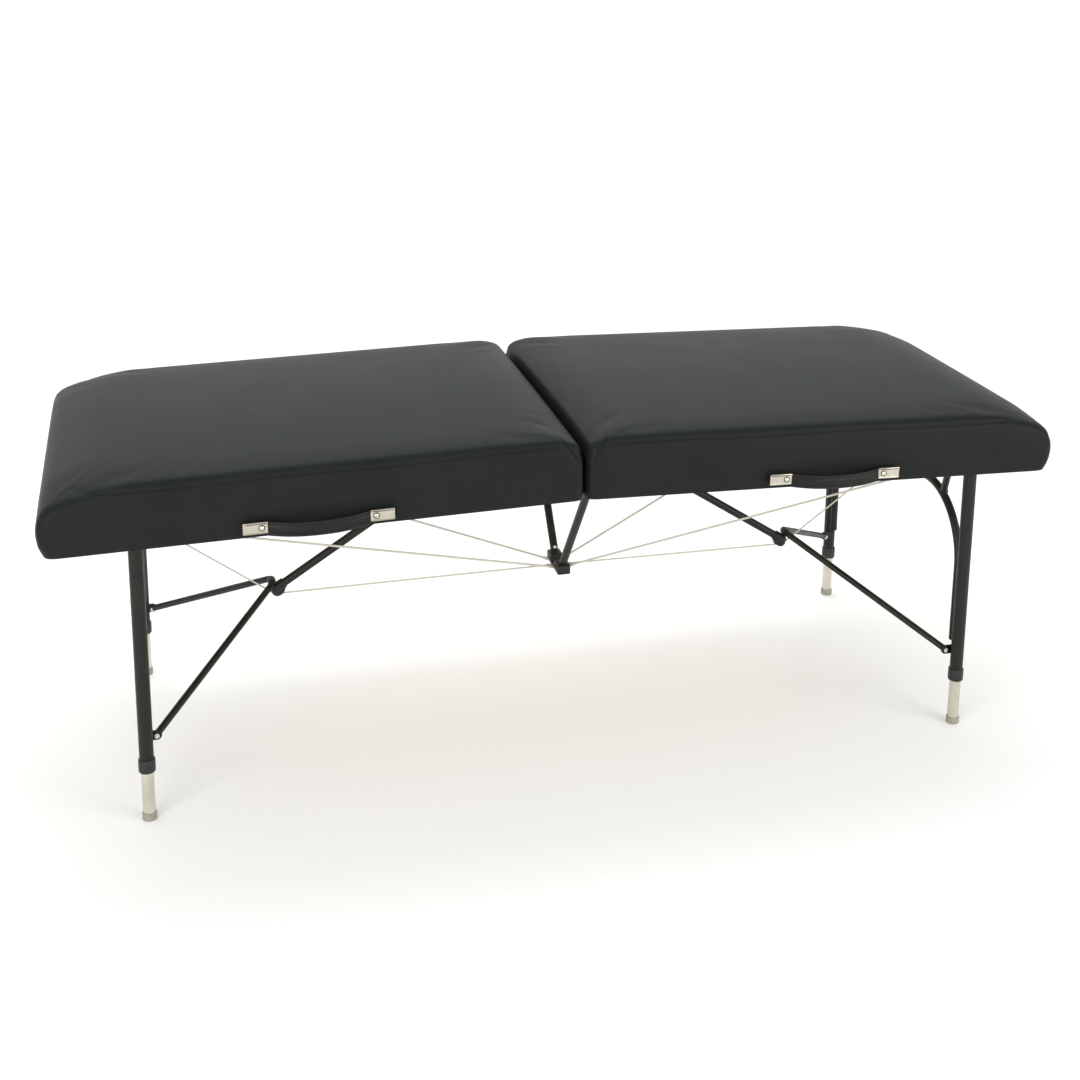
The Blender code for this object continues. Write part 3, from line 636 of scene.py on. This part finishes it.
def makeEndFrame(side, half):
    x = legAxis(half, "far")[0]
    legY, archY = archReach(half)
    pivot = pivotSpot(half)
    foot, top = archSet["foot"], archSet["top"]
    bm = bmesh.new()
    corners = [(x, midY + s * archY, z) for s, z in ((-1, foot), (-1, top), (1, top), (1, foot))]
    sweepTube(bm, bendPath(corners, archSet["bend"], 22), archSet["radius"])
    reach = legY + pivotSet["past"]
    sleeve = ringProfile(pivotSet["bore"], pivotSet["radius"], -reach, reach)
    spinShape(bm, sleeve, facing((0, 1, 0), (pivot.x, midY, pivot.z)), 40, True)
    welds = bmesh.new()
    for sign in (-1, 1):
        low, high = branchEnds(half, sign)
        along = (high - low).normalized()
        sweepTube(bm, [low, low.lerp(high, 0.5), high], branchSet["radius"], 32)
        weldBead(welds, low + along * archSet["radius"] * weldSet["sunk"], along)
        weldBead(welds, high - along * pivotSet["radius"] * weldSet["sunk"], along)
    newPiece(half + "_endFrameTubes", bm, "blackCoat", half + "_legs", half + "_end_frame")
    newPiece(half + "_endFrameWelds", welds, "blackCoat", half + "_legs", "", 60)


# Folding brace: bent V tube, strut with eye, turned knuckle

braceSet = {
    "radius": 0.00635, "bend": 0.030, "tail": 0.010, "lugGap": 0.0004,
    "bandRadius": 0.0076, "bandHalf": 0.0085, "bandSteps": 8,
    "bolt": 0.0052, "boltIn": 0.008, "boltThick": 0.004, "boltBevel": 0.0005,
}
strutSet = {
    "radius": 0.00795, "knee": (0.5254, 0.2924), "past": 0.006, "neck": 0.013, "eye": 0.008, "eyeHalf": 0.008,
    "pin": 0.0043, "block": (0.019, 0.013, 0.0112), "blockIn": 0.003, "blockBevel": 0.0012,
}
kneeSet = {
    "lift": 0.0172, "shift": 0.0004, "cuff": 0.0104, "cuffRun": (0.004, 0.016, 0.0172), "cuffSlope": 0.001,
    "cuffGap": 0.0002, "screwAt": 0.011,
    "pear": (
        (0.0, 0.0092), (0.0073, 0.0092), (0.0088, 0.0080), (0.0095, 0.0078), (0.0105, 0.0052), (0.0119, 0.0018),
        (0.0133, -0.0016), (0.0140, -0.0046), (0.0138, -0.0074), (0.0130, -0.0100), (0.0114, -0.0126),
        (0.0088, -0.0147), (0.0052, -0.0160), (0.0, -0.0165),
    ),
    "screw": ((0.0, 0.0022), (0.0014, 0.0019), (0.0021, 0.0008), (0.0021, -0.001), (0.0, -0.001)),
}


def kneeAxes(side, half):
    top = Vector(joints[half + "_strut_swing"]["pos_m"])
    knee = Vector((side * strutSet["knee"][0], midY, strutSet["knee"][1]))
    along = (top - knee).normalized()
    return top, knee, along, Vector((0.0, 1.0, 0.0)).cross(along) * side


def makeBrace(side, half):
    b = braceSet
    _, knee, along, up = kneeAxes(side, half)
    lug = Vector(joints[half + "_brace_swing"]["pos_m"])
    endY = archReach(half)[0] - legSet["radius"] + legSet["wall"] - lugSet["thick"] - b["lugGap"]
    point = knee + up * kneeSet["lift"] + along * kneeSet["shift"] - lug
    ahead = point.normalized()
    crown = 0.0
    for _ in range(6):  # corner of the V, so that its bend ends on the knuckle
        slant = math.atan2(endY, point.length + crown)
        crown = b["bend"] / math.sin(slant) - b["bend"]
    apex = lug + point + ahead * crown
    seats = [(sign, lug + Vector((0.0, sign * endY, 0.0))) for sign in (-1, 1)]
    ends = [seat + (seat - apex).normalized() * b["tail"] for _, seat in seats]
    bm = bmesh.new()
    sweepTube(bm, bendPath((ends[0], apex, ends[1]), b["bend"], 22), b["radius"])
    for sign, seat in seats:  # mitred flat against the lugs
        cutFlat(bm, seat, (0, sign, 0))
    newPiece(half + "_braceTube", bm, "blackCoat", half + "_brace", half + "_brace")
    bm = bmesh.new()  # saddle band where the bend rides on the knuckle
    middle = lug + point - ahead * b["bend"]
    arc = []
    for i in range(-b["bandSteps"], b["bandSteps"] + 1):
        t = i / b["bandSteps"] * b["bandHalf"] / b["bend"]
        arc.append(middle + ahead * b["bend"] * math.cos(t) + Vector((0.0, b["bend"] * math.sin(t), 0.0)))
    sweepTube(bm, arc, b["bandRadius"])
    newPiece(half + "_braceBand", bm, "blackCast", half + "_brace", "", 45)
    bm = bmesh.new()
    for sign, seat in seats:
        start = seat - Vector((0.0, sign * b["boltIn"], 0.0))
        rodShape(bm, start, start + Vector((0.0, sign * b["boltThick"], 0.0)), b["bolt"], 6, b["boltBevel"])
    newPiece(half + "_braceBolts", bm, "zinc", half + "_brace", "", 30)


def makeStrut(side, half):
    s, k = strutSet, kneeSet
    top, knee, along, up = kneeAxes(side, half)
    turn = Matrix((along, (0.0, 1.0, 0.0), up)).transposed().to_4x4()
    bm = bmesh.new()
    sweepTube(bm, [top - along * s["neck"], top.lerp(knee, 0.5), knee - along * s["past"]], s["radius"])
    block = top - along * (s["block"][0] / 2 + s["blockIn"])
    boxShape(bm, s["block"], Matrix.Translation(block) @ turn, s["blockBevel"])
    spinShape(bm, ringProfile(s["pin"], s["eye"], -s["eyeHalf"], s["eyeHalf"]), facing((0, 1, 0), top), 36, True)
    newPiece(half + "_strutTube", bm, "blackCoat", half + "_strut", half + "_strut")

    bm = bmesh.new()
    spinShape(bm, k["pear"], facing(up, knee), 48)
    bore = s["radius"] + k["cuffGap"]
    start, full, end = k["cuffRun"]
    cuff = ((bore, start), (k["cuff"], start), (k["cuff"], full), (k["cuff"] - k["cuffSlope"], end), (bore, end))
    spinShape(bm, cuff, facing(along, knee), 40, True)
    newPiece(half + "_kneeKnuckle", bm, "blackCast", half + "_strut", half + "_knuckle", 45)
    bm = bmesh.new()
    for sign in (-1, 1):  # grub screws that hold the strut in its cuff
        spot = knee + along * k["screwAt"] + Vector((0.0, sign * k["cuff"], 0.0))
        spinShape(bm, k["screw"], facing((0, sign, 0), spot), 20)
    newPiece(half + "_kneeScrews", bm, "blackCoat", half + "_strut", "", 50)


# King post: two tubes from the hanger rod to the shoe

kingSet = {
    "radius": 0.008, "spread": 0.250, "depth": 0.302, "tip": 0.286, "eye": 0.0095, "eyeHalf": 0.012, "bore": 0.0043,
    "neck": 0.9,
}
shoeSet = {
    "rivet": 0.0036, "rivetZ": 0.3035, "bevel": 0.0016, "sharp": math.radians(50), "shortest": 0.008,
    "head": ((0.0, 0.0018), (0.55, 0.0015), (0.9, 0.0007), (1.0, 0.0), (1.0, -0.001), (0.0, -0.001)),
}


def makeKingPost():
    k = kingSet
    axis = Vector(joints["king_swing"]["pos_m"])
    meet = Vector((axis.x, midY, halfTop["splitHeight"] - k["depth"]))
    for sign, way in ways:
        top = Vector((axis.x, midY + sign * k["spread"], axis.z))
        tip, spot = (top.lerp(meet, (axis.z - z) / (axis.z - meet.z)) for z in (k["tip"], shoeSet["rivetZ"]))
        along = (tip - top).normalized()
        bm = bmesh.new()
        sweepTube(bm, [top + along * k["eye"] * k["neck"], top.lerp(tip, 0.5), tip], k["radius"])
        eye = ringProfile(k["bore"], k["eye"], -k["eyeHalf"], k["eyeHalf"])
        spinShape(bm, eye, facing((0, 1, 0), top), 40, True)
        newPiece("kingPostTube_" + way, bm, "blackCoat", "king_post", "king_tube_" + way)
        inward = Vector((0.0, -sign, 0.0))
        front = (inward - along * along.dot(inward)).normalized()
        bm = bmesh.new()
        head = [(share * shoeSet["rivet"], h) for share, h in shoeSet["head"]]
        spinShape(bm, head, facing(front, spot + front * k["radius"]), 28)
        newPiece("kingPostRivet_" + way, bm, "zinc", "king_post", "", 50)
    bm = bmesh.new()
    bm.from_mesh(nodes["king_shoe"].data)
    bmesh.ops.remove_doubles(bm, verts=bm.verts, dist=0.00001)
    bmesh.ops.dissolve_limit(bm, angle_limit=math.radians(2), verts=bm.verts, edges=bm.edges)
    rims = [e for e in bm.edges if len(e.link_faces) == 2 and e.calc_face_angle() > shoeSet["sharp"]]
    roundEdges(bm, [e for e in rims if e.calc_length() > shoeSet["shortest"]], shoeSet["bevel"], 3, True)
    newPiece("kingPostShoe", bm, "blackCast", "king_post", "king_shoe", 35)


# Cables: coated wire rope with a crimp at each end

cableSet = {
    "near": {"radius": 0.0021, "side": 0.020, "z": 0.2875, "share": 0.62},
    "brace": {"radius": 0.0016, "z": 0.2835, "guide": (0.004, -0.0125), "bend": 0.010},
    "crimp": 1.6, "crimpLong": 0.012, "crimpAt": (0.0, 0.06, 0.94, 1.0), "crimpGrow": (0.8, 1.0, 1.0, 0.8),
    "runFrom": 1.12, "runSteps": 12, "shoeHalf": 0.0135, "gap": 0.0003, "strand": 0.012, "around": 14,
    "foldFrom": 0.4, "foldKeep": 0.02, "foldDrop": 0.001,
}


def cablePath(first, between, last, radius):
    stops = [first, *between, last]
    head = (stops[1] - first).normalized() * cableSet["crimpLong"]
    tail = (stops[-2] - last).normalized() * cableSet["crimpLong"]
    inner = [first + head * cableSet["runFrom"], *between, last + tail * cableSet["runFrom"]]
    if between:
        run = bendPath(inner, cableSet["brace"]["bend"], 10)
    else:
        run = [inner[0].lerp(inner[1], i / cableSet["runSteps"]) for i in range(cableSet["runSteps"] + 1)]
    crimps = [[end + way * share for share in cableSet["crimpAt"]] for end, way in ((first, head), (last, tail))]
    grown = [cableSet["crimp"] * radius * grow for grow in cableSet["crimpGrow"]]
    return [*crimps[0], *run, *reversed(crimps[1])], [*grown, *[radius] * len(run), *grown]


def clearOf(first, aim, radius):
    # keeps the rim of a tilted crimp off the shoe's side
    way = (aim - first).normalized()
    return cableSet["crimp"] * radius * math.sqrt(1 - way.x ** 2) + cableSet["gap"]


def cableRoutes(side, half):
    shoeX = joints["king_swing"]["pos_m"][0] + side * cableSet["shoeHalf"]
    c = cableSet["near"]
    stand = branchSet["radius"] + cableSet["crimp"] * c["radius"] + cableSet["gap"]
    routes = []
    for sign, way in ways:
        low, high = branchEnds(half, sign)
        hold = low.lerp(high, c["share"]) - Vector((side * stand, 0.0, 0.0))
        first = Vector((shoeX, midY + sign * c["side"], c["z"]))
        first.x += side * clearOf(first, hold, c["radius"])
        routes.append((way, first, [], hold, c["radius"]))
    c = cableSet["brace"]
    under = kneeAxes(side, half)[1] + Vector((side * c["guide"][0], 0.0, c["guide"][1]))
    first = Vector((shoeX, midY, c["z"]))
    first.x += side * clearOf(first, under, c["radius"])
    bar = Vector((legAxis(half, "far")[0], midY, archSet["top"]))
    last = bar + (under - bar).normalized() * (archSet["radius"] + cableSet["gap"])
    routes.append(("brace", first, [under], last, c["radius"]))
    return routes


def flattenCable(cable):
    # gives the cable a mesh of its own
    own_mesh(cable)


def makeCables(side, half):
    hinge = joints["table_fold"]["pos_m"]
    for way, first, between, last, radius in cableRoutes(side, half):
        points, radii = cablePath(first, between, last, radius)
        bm = bmesh.new()
        sweepTube(bm, points, radii, cableSet["around"])
        uv = bm.loops.layers.uv.verify()
        for face in bm.faces:  # map of the strands' turns
            for loop in face.loops:
                loop[uv].uv = (loop[uv].uv[0] / cableSet["strand"], loop[uv].uv[1] * 2)
        if side < 0:  # the end past the hinge line folds with the right half
            end = bm.copy()
            cutFlat(end, hinge, (-1, 0, 0))
            piece = newPiece(f"{half}_wireCableEnd_{way}", end, "coatedWire", "right_half", "", 50)
            flattenCable(piece)
            cutFlat(bm, hinge, (1, 0, 0))
        cable = newPiece(f"{half}_wireCable_{way}", bm, "coatedWire", half + "_half", f"{half}_cable_{way}", 50)
        flattenCable(cable)


# Handles: stitched strap between two plated caps with a cross-head screw each

capSet = {
    "size": (0.0430, 0.009, 0.0212), "lift": 0.0035, "bevel": 0.0022, "rim": 0.0012, "sunk": 0.0004,
    "lip": 0.0015, "lipDown": 0.0010, "lipIn": 0.0008, "lipBevel": 0.0005, "out": 0.0002,
    # the last row sizes and places a dark strip of painted shade and painted reflection under the lip
    "gap": (0.005, 0.0012, 0.0011), "lipShadeIn": 0.0004, "lipShadeDown": 0.0030,
}
screwSet = {
    # the ring sizes on this row and the floor sizes on the next place dark painted shade round the screw head and on
    # the slot floors
    "share": 0.25, "radius": 0.0044, "seat": 0.0056, "shadeRingIn": 0.9, "shadeRingTall": 0.0004,
    "slot": (0.0066, 0.0019), "slotTool": 0.004, "slotOut": 0.00312, "floor": 0.0006, "slotShadeOut": 0.0007,
    "head": ((0.0, 0.0020), (0.5, 0.0018), (0.85, 0.0012), (1.0, 0.0003), (1.0, -0.001), (0.0, -0.001)),
}
strapSet = {
    "tall": 0.026, "thick": 0.0045, "gap": 0.0003, "bow": 0.0145, "sag": 0.0030, "bowPower": 2.2, "cuts": 40,
    "edge": 0.0018, "rib": 0.0082, "ribHalf": 0.0009, "ribDeep": 0.0008,
}
stitchSet = {"in": 0.003, "long": 0.0032, "count": 38, "radius": 0.0004, "lifts": (0.0003, -0.0002, 0.0003)}


def halfPiece(side, half, name, bm, finish, stands="", smooth=40):
    bmesh.ops.transform(bm, matrix=halfPlace(side), verts=bm.verts)
    fixNormals(bm)
    return newPiece(f"{half}_{name}", bm, finish, half + "_half", stands, smooth)


def makeCap(side, half, tag, spot):
    c = capSet
    long, deep, tall = c["size"]
    spot = spot + Vector((0.0, 0.0, c["lift"]))
    front = -deep / 2
    bm = bmesh.new()
    boxShape(bm, c["size"], Matrix.Translation(spot), c["bevel"], 4)
    face = [f for f in bm.faces if f.normal.y < -0.99]
    bmesh.ops.inset_region(bm, faces=face, thickness=c["rim"], depth=-c["sunk"])
    edge = spot + Vector((0.0, front + c["out"], tall / 2 - c["lipDown"]))  # rolled lip along the top
    reach = Vector((long / 2 - c["lipIn"], 0.0, 0.0))
    rodShape(bm, edge - reach, edge + reach, c["lip"], 16, c["lipBevel"])
    halfPiece(side, half, "handleCap_" + tag, bm, "nickel", f"{half}_handle_cap_{tag}", 25)
    bm = bmesh.new()  # painted shade and painted reflection: a dark strip laid under the lip
    gap = spot + Vector((0.0, front + c["lipShadeIn"], tall / 2 - c["lipShadeDown"]))
    boxShape(bm, (long - c["gap"][0], c["gap"][1], c["gap"][2]), Matrix.Translation(gap))
    halfPiece(side, half, "handleLipShade_" + tag, bm, "blackCast")

    w = screwSet
    toStrap = 1 if tag == "inner" else -1
    at = spot + Vector((toStrap * long * w["share"], front + c["out"], 0.0))
    bm = bmesh.new()
    spinShape(bm, [(share * w["radius"], h) for share, h in w["head"]], facing((0, -1, 0), at), 36)
    screw = halfPiece(side, half, "handleScrew_" + tag, bm, "zinc")
    slotLong, slotWide = w["slot"]
    slots = ((slotLong, slotWide), (slotWide, slotLong))
    bm = bmesh.new()  # painted shade: a thin dark ring round the head, and dark bars on the floor of the cross slots
    ring = ringProfile(w["radius"] * w["shadeRingIn"], w["seat"], 0.0, w["shadeRingTall"])
    spinShape(bm, ring, facing((0, -1, 0), at), 36, True)
    # dark bars of painted shade on the slot floors
    for across, high in slots:
        boxShape(bm, (across, w["floor"], high), Matrix.Translation(at - Vector((0.0, w["slotShadeOut"], 0.0))))
    halfPiece(side, half, "handleScrewShade_" + tag, bm, "blackCast")
    for across, high in slots:  # the cross slots, one after the other
        tool = bmesh.new()
        place = halfPlace(side) @ Matrix.Translation(at - Vector((0.0, w["slotOut"], 0.0)))
        boxShape(tool, (across, w["slotTool"], high), place)
        fixNormals(tool)
        carve(screw, tool)
    dressPiece(screw, "zinc", half + "_half")


def makeStrap(side, half, spots):
    s = strapSet
    inner = spots["inner"].x + capSet["size"][0] / 2 + s["gap"]
    outer = spots["outer"].x - capSet["size"][0] / 2 - s["gap"]
    middle = Vector(((inner + outer) / 2, spots["inner"].y, spots["inner"].z))
    run = (outer - inner) / 2

    def hang(v):  # bow out and sag of the strap at a point of its length
        swell = 1 - abs(max(-1.0, min(1.0, v.x / run))) ** s["bowPower"]
        return v + Vector((0.0, -s["bow"] * swell, -s["sag"] * swell)) + middle

    def longEdges():
        return [e for e in bm.edges if abs(e.verts[0].co.x - e.verts[1].co.x) > run]

    bm = bmesh.new()
    boxShape(bm, (2 * run, s["thick"], s["tall"]), Matrix.Identity(4))
    roundEdges(bm, longEdges(), s["edge"], 3)
    for line in (-1, 1):  # pressed line along both edges
        for off in (-s["ribHalf"], 0.0, s["ribHalf"]):
            slicePlane(bm, (0, 0, line * s["rib"] + off), (0, 0, 1))
    for v in bm.verts:
        if abs(abs(v.co.z) - s["rib"]) < 0.0001:
            v.co.y -= math.copysign(s["ribDeep"], v.co.y)
    bmesh.ops.subdivide_edges(bm, edges=longEdges(), cuts=s["cuts"], use_grid_fill=True)
    for v in bm.verts:
        v.co = hang(v.co)
    halfPiece(side, half, "handleStrap", bm, "strapVinyl", half + "_handle_strap", 60)

    t = stitchSet
    bm = bmesh.new()
    step = 2 * run / (t["count"] + 1)
    for row in (-1, 1):
        z = row * (s["tall"] / 2 - t["in"])
        for i in range(t["count"]):
            u = -run + step * (i + 1)
            stitch = [hang(Vector((u + d * t["long"] / 2, -s["thick"] / 2, z))) for d in (-1, 0, 1)]
            sweepTube(bm, [p + Vector((0.0, q, 0.0)) for p, q in zip(stitch, t["lifts"])], t["radius"], 6)
    halfPiece(side, half, "strapStitching", bm, "stitchThread", "", 60)


def makeHandle(side, half):
    home = halfPlace(side).inverted()
    spots = {}
    for tag in ("inner", "outer"):
        low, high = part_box(f"{half}_handle_cap_{tag}")
        spots[tag] = home @ ((low + high) / 2)
        makeCap(side, half, tag, spots[tag])
    makeStrap(side, half, spots)


# Cushions: foam pad under tight vinyl, swollen by a cloth pass, pleated at the split

padSet = {
    "split": 0.002, "length": 0.925, "halfWidth": 0.341, "height": 0.1140, "bottom": -0.003, "spare": 0.012,
    "corner": 0.017, "splitCorner": 0.014, "edge": 0.013, "sideSwell": 0.008, "endSwell": 0.015, "endBow": 0.012,
    "swellPower": (0.75, 0.8), "sidePower": 6, "endPower": 12, "voxel": 0.008, "fill": 0.85,
    "crown": 0.011, "crownFrom": 0.8, "crownEnd": 0.6,
    "rollFrom": 0.78, "rollPower": 2.4, "endRoll": 0.022, "cornerRoll": 0.012, "cornerFrom": 0.6,
    "splitRoll": 0.016, "splitReach": 0.060,
}
clothSet = {"pressure": 4.0, "frames": 20, "cap": 0.0028, "splitDeep": 0.008, "splitHold": 0.076, "fadeOver": 0.03}
coreSet = {
    "split": 0.0064, "end": 0.9216, "halfWidth": 0.3376, "high": 0.0649, "corner": 0.0425, "splitCorner": 0.0135,
}
grooveSet = {
    "high": 0.1005, "deep": 0.0020, "wide": 0.0030, "band": 0.011, "wave": 0.0012, "waves": (17, 3),
    "start": (0.03, 0.03), "end": (0.90, 0.06),  # where it fades, and over what length
    "fineIn": 0.035, "pushIn": 0.04,  # how far in from the sides the skin is finer and is pushed
}
pleatSet = {
    "start": (0.042, 0.106), "end": (0.006, 0.062), "deep": 0.0022, "steep": 0.0012, "soft": 0.0080,
    "fades": (6, 5), "fine": (0.07, 0.04), "push": (0.08, 0.03),  # farthest from the split and lowest
    "line": ((0.042, 0.310, 0.115), (0.036, 0.352, 0.107), (0.006, 0.347, 0.064)), "cut": 0.0013, "cutSteps": 28,
}


def shareOf(value):
    return max(0.0, min(1.0, value))


def uprightEdges(bm):
    return [e for e in bm.edges if abs(e.verts[0].co.z - e.verts[1].co.z) > 0.05]


def cornerBlock(p, end, low, high, outerSteps, innerSteps):
    # block from the split to the end, with round upright corners
    bm = bmesh.new()
    size = (end - p["split"], 2 * p["halfWidth"], high - low)
    boxShape(bm, size, Matrix.Translation((p["split"] + size[0] / 2, 0.0, low + size[2] / 2)))
    outer = [e for e in uprightEdges(bm) if e.verts[0].co.x > 0.5]
    inner = [e for e in uprightEdges(bm) if e.verts[0].co.x < 0.5]
    roundEdges(bm, outer, p["corner"], outerSteps)
    roundEdges(bm, inner, p["splitCorner"], innerSteps)
    return bm


def padBlock(p):
    # round top edge and swollen sides; the spare is cut off again for a crisp bottom edge
    bm = cornerBlock(p, p["length"], p["bottom"] - p["spare"], p["height"], 10, 6)
    rim = [e for e in bm.edges if all(v.co.z > p["height"] - 0.001 for v in e.verts)]
    roundEdges(bm, rim, p["edge"], 7)
    bmesh.ops.subdivide_edges(bm, edges=uprightEdges(bm), cuts=12, use_grid_fill=True)
    for v in bm.verts:
        up = shareOf((v.co.z - p["bottom"]) / (p["height"] - p["bottom"]))
        swell = math.sin(math.pi * up ** p["swellPower"][0]) ** p["swellPower"][1]
        aside = p["sideSwell"] * swell * (abs(v.co.y) / p["halfWidth"]) ** p["sidePower"]
        v.co.y += math.copysign(aside, v.co.y)
        bow = p["endBow"] * (1 - (v.co.y / p["halfWidth"]) ** 2)
        v.co.x += (p["endSwell"] * swell + bow) * max(0.0, v.co.x / p["length"]) ** p["endPower"]
    fixNormals(bm)
    return bm


def rollTop(obj, p):
    # voxel skin whose top rolls over at the outer end, most at its corners, and at the split
    mod = obj.modifiers.new("skin", "REMESH")
    mod.mode = "VOXEL"
    mod.voxel_size = p["voxel"]
    settle(obj)
    for v in obj.data.vertices:
        over = max(0.0, (v.co.x - p["rollFrom"]) / (p["length"] - p["rollFrom"]))
        aside = max(0.0, abs(v.co.y) / p["halfWidth"] - p["cornerFrom"]) / (1 - p["cornerFrom"])
        inward = max(0.0, 1 - v.co.x / p["splitReach"])
        drop = p["endRoll"] * over ** p["rollPower"] + p["cornerRoll"] * aside ** 2 * over
        v.co.z -= max(0.0, v.co.z / p["height"]) ** 2 * (drop + p["splitRoll"] * inward ** 2)


def swellPad(obj, p, c):
    # cloth pass with the bottom and the split face held
    start = [v.co.copy() for v in obj.data.vertices]
    held = obj.vertex_groups.new(name="held")
    low = [i for i, co in enumerate(start) if co.z < p["bottom"]]
    split = [i for i, co in enumerate(start) if co.x < c["splitDeep"] and co.z < c["splitHold"]]
    held.add(low + split, 1.0, "REPLACE")
    cloth = obj.modifiers.new("vinyl", "CLOTH")
    cloth.settings.use_pressure = True
    cloth.settings.uniform_pressure_force = c["pressure"]
    cloth.settings.effector_weights.gravity = 0.0
    cloth.settings.vertex_group_mass = "held"
    for step in range(1, c["frames"] + 1):
        scene.frame_set(step)
    settle(obj)
    scene.frame_set(1)
    for v, old in zip(obj.data.vertices, start):
        move = v.co - old
        if move.length > c["cap"]:
            move *= c["cap"] / move.length
        v.co = old + move * shareOf((old.z - p["bottom"]) / c["fadeOver"])  # none at the bottom edge
    obj.vertex_groups.clear()


def pleatDepth(spot, pleat):
    # a fold that is steep on the split's side and runs out softly on the other
    start = Vector(pleat["start"])
    along = Vector(pleat["end"]) - start
    part = (spot - start).dot(along) / along.length_squared
    if not 0.0 < part < 1.0:
        return 0.0
    off = along.normalized().cross(spot - start)
    fade = min(1.0, pleat["fades"][0] * part) * min(1.0, pleat["fades"][1] * (1 - part))
    return pleat["deep"] * fade * math.exp(-off / pleat["soft"] if off > 0 else off / pleat["steep"])


def creasePad(obj, p, g):
    # crease under the shoulder of both sides, pleats at the split corners, and a crowned top
    bm = bmesh.new()
    bm.from_mesh(obj.data)
    slicePlane(bm, (0, 0, p["bottom"]), (0, 0, 1), clear_inner=True)
    bmesh.ops.holes_fill(bm, edges=[e for e in bm.edges if e.is_boundary], sides=0)
    fine = []
    for f in bm.faces:
        spot = f.calc_center_median()
        pleated = spot.x < pleatSet["fine"][0] and spot.z > pleatSet["fine"][1]
        if abs(spot.y) > p["halfWidth"] - g["fineIn"] and (pleated or abs(spot.z - g["high"]) < g["band"]):
            fine.append(f)
    bmesh.ops.subdivide_edges(bm, edges=list({e for f in fine for e in f.edges}), cuts=2, use_grid_fill=True)
    bm.normal_update()
    moves = []
    for v in bm.verts:
        push = 0.0
        if abs(v.co.y) > p["halfWidth"] - g["pushIn"]:
            wave = g["wave"] * math.sin(g["waves"][0] * v.co.x + g["waves"][1] * v.co.y)
            off = (v.co.z - g["high"] - wave) / g["wide"]
            fade = shareOf((v.co.x - g["start"][0]) / g["start"][1]) * shareOf((g["end"][0] - v.co.x) / g["end"][1])
            push += g["deep"] * math.exp(-off * off) * fade
            if v.co.x < pleatSet["push"][0] and v.co.z > pleatSet["push"][1]:
                push += pleatDepth(Vector((v.co.x, v.co.z)), pleatSet)
        moves.append((v, v.normal * push))
    for v, move in moves:
        v.co -= move
        if v.co.z > p["height"] * p["crownFrom"]:
            outer = max(0.0, 2 * v.co.x / p["length"] - 1)
            middle = max(0.0, (1 - (v.co.y / p["halfWidth"]) ** 2) * (1 - p["crownEnd"] * outer ** 4))
            v.co.z += p["crown"] * middle * (v.co.z / p["height"] - p["crownFrom"]) / (1 - p["crownFrom"])
    bm.to_mesh(obj.data)
    bm.free()


def sewPleats(obj, pleat):
    # a thin cut laid on the skin where each pleat is sewn down
    bm = bmesh.new()
    bm.from_mesh(obj.data)
    skin = BVHTree.FromBMesh(bm)
    bm.free()
    for sign in (-1, 1):
        start, turn, end = (Vector((x, sign * y, z)) for x, y, z in pleat["line"])
        path, radii = [], []
        for i in range(pleat["cutSteps"] + 1):
            t = i / pleat["cutSteps"]
            path.append(skin.find_nearest(start.lerp(turn, t).lerp(turn.lerp(end, t), t))[0])
            radii.append(pleat["cut"] * (0.2 + 0.8 * min(1.0, 4 * t, 4 * (1 - t))))  # thin at both ends
        knife = bmesh.new()
        sweepTube(knife, path, radii, 10)
        carve(obj, knife)


def makeCushions():
    mould = newObject("padMould", padBlock(padSet))
    rollTop(mould, padSet)
    swellPad(mould, padSet, clothSet)
    mod = mould.modifiers.new("finer", "SUBSURF")
    mod.levels = 1
    mod.render_levels = 1
    settle(mould)
    creasePad(mould, padSet, grooveSet)
    sewPleats(mould, pleatSet)
    # room for the deck and the rails
    carve(mould, cornerBlock(coreSet, coreSet["end"], -coreSet["high"], coreSet["high"], 8, 5))
    for side, half in sides:
        bm = bmesh.new()
        bm.from_mesh(mould.data)
        bmesh.ops.transform(bm, matrix=halfPlace(side), verts=bm.verts)
        if side < 0:
            bmesh.ops.reverse_faces(bm, faces=bm.faces)
        cushion = newPiece(half + "_padCushion", bm, "padVinyl", half + "_half", half + "_cushion", 50)
        print(cushion.name, "faces", len(cushion.data.polygons))
    bpy.data.objects.remove(mould)


for side, half in sides:
    for sign, way in ways:
        makeLeg(side, half, way, sign)
    makeEndFrame(side, half)
    makeBrace(side, half)
    makeStrut(side, half)
    makeCables(side, half)
    makeHandle(side, half)
    print(half, "legs, brace, cables and handle made")
makeKingPost()
print("king post made")
makeCushions()
print("cushions made")

bpy.context.view_layer.update()
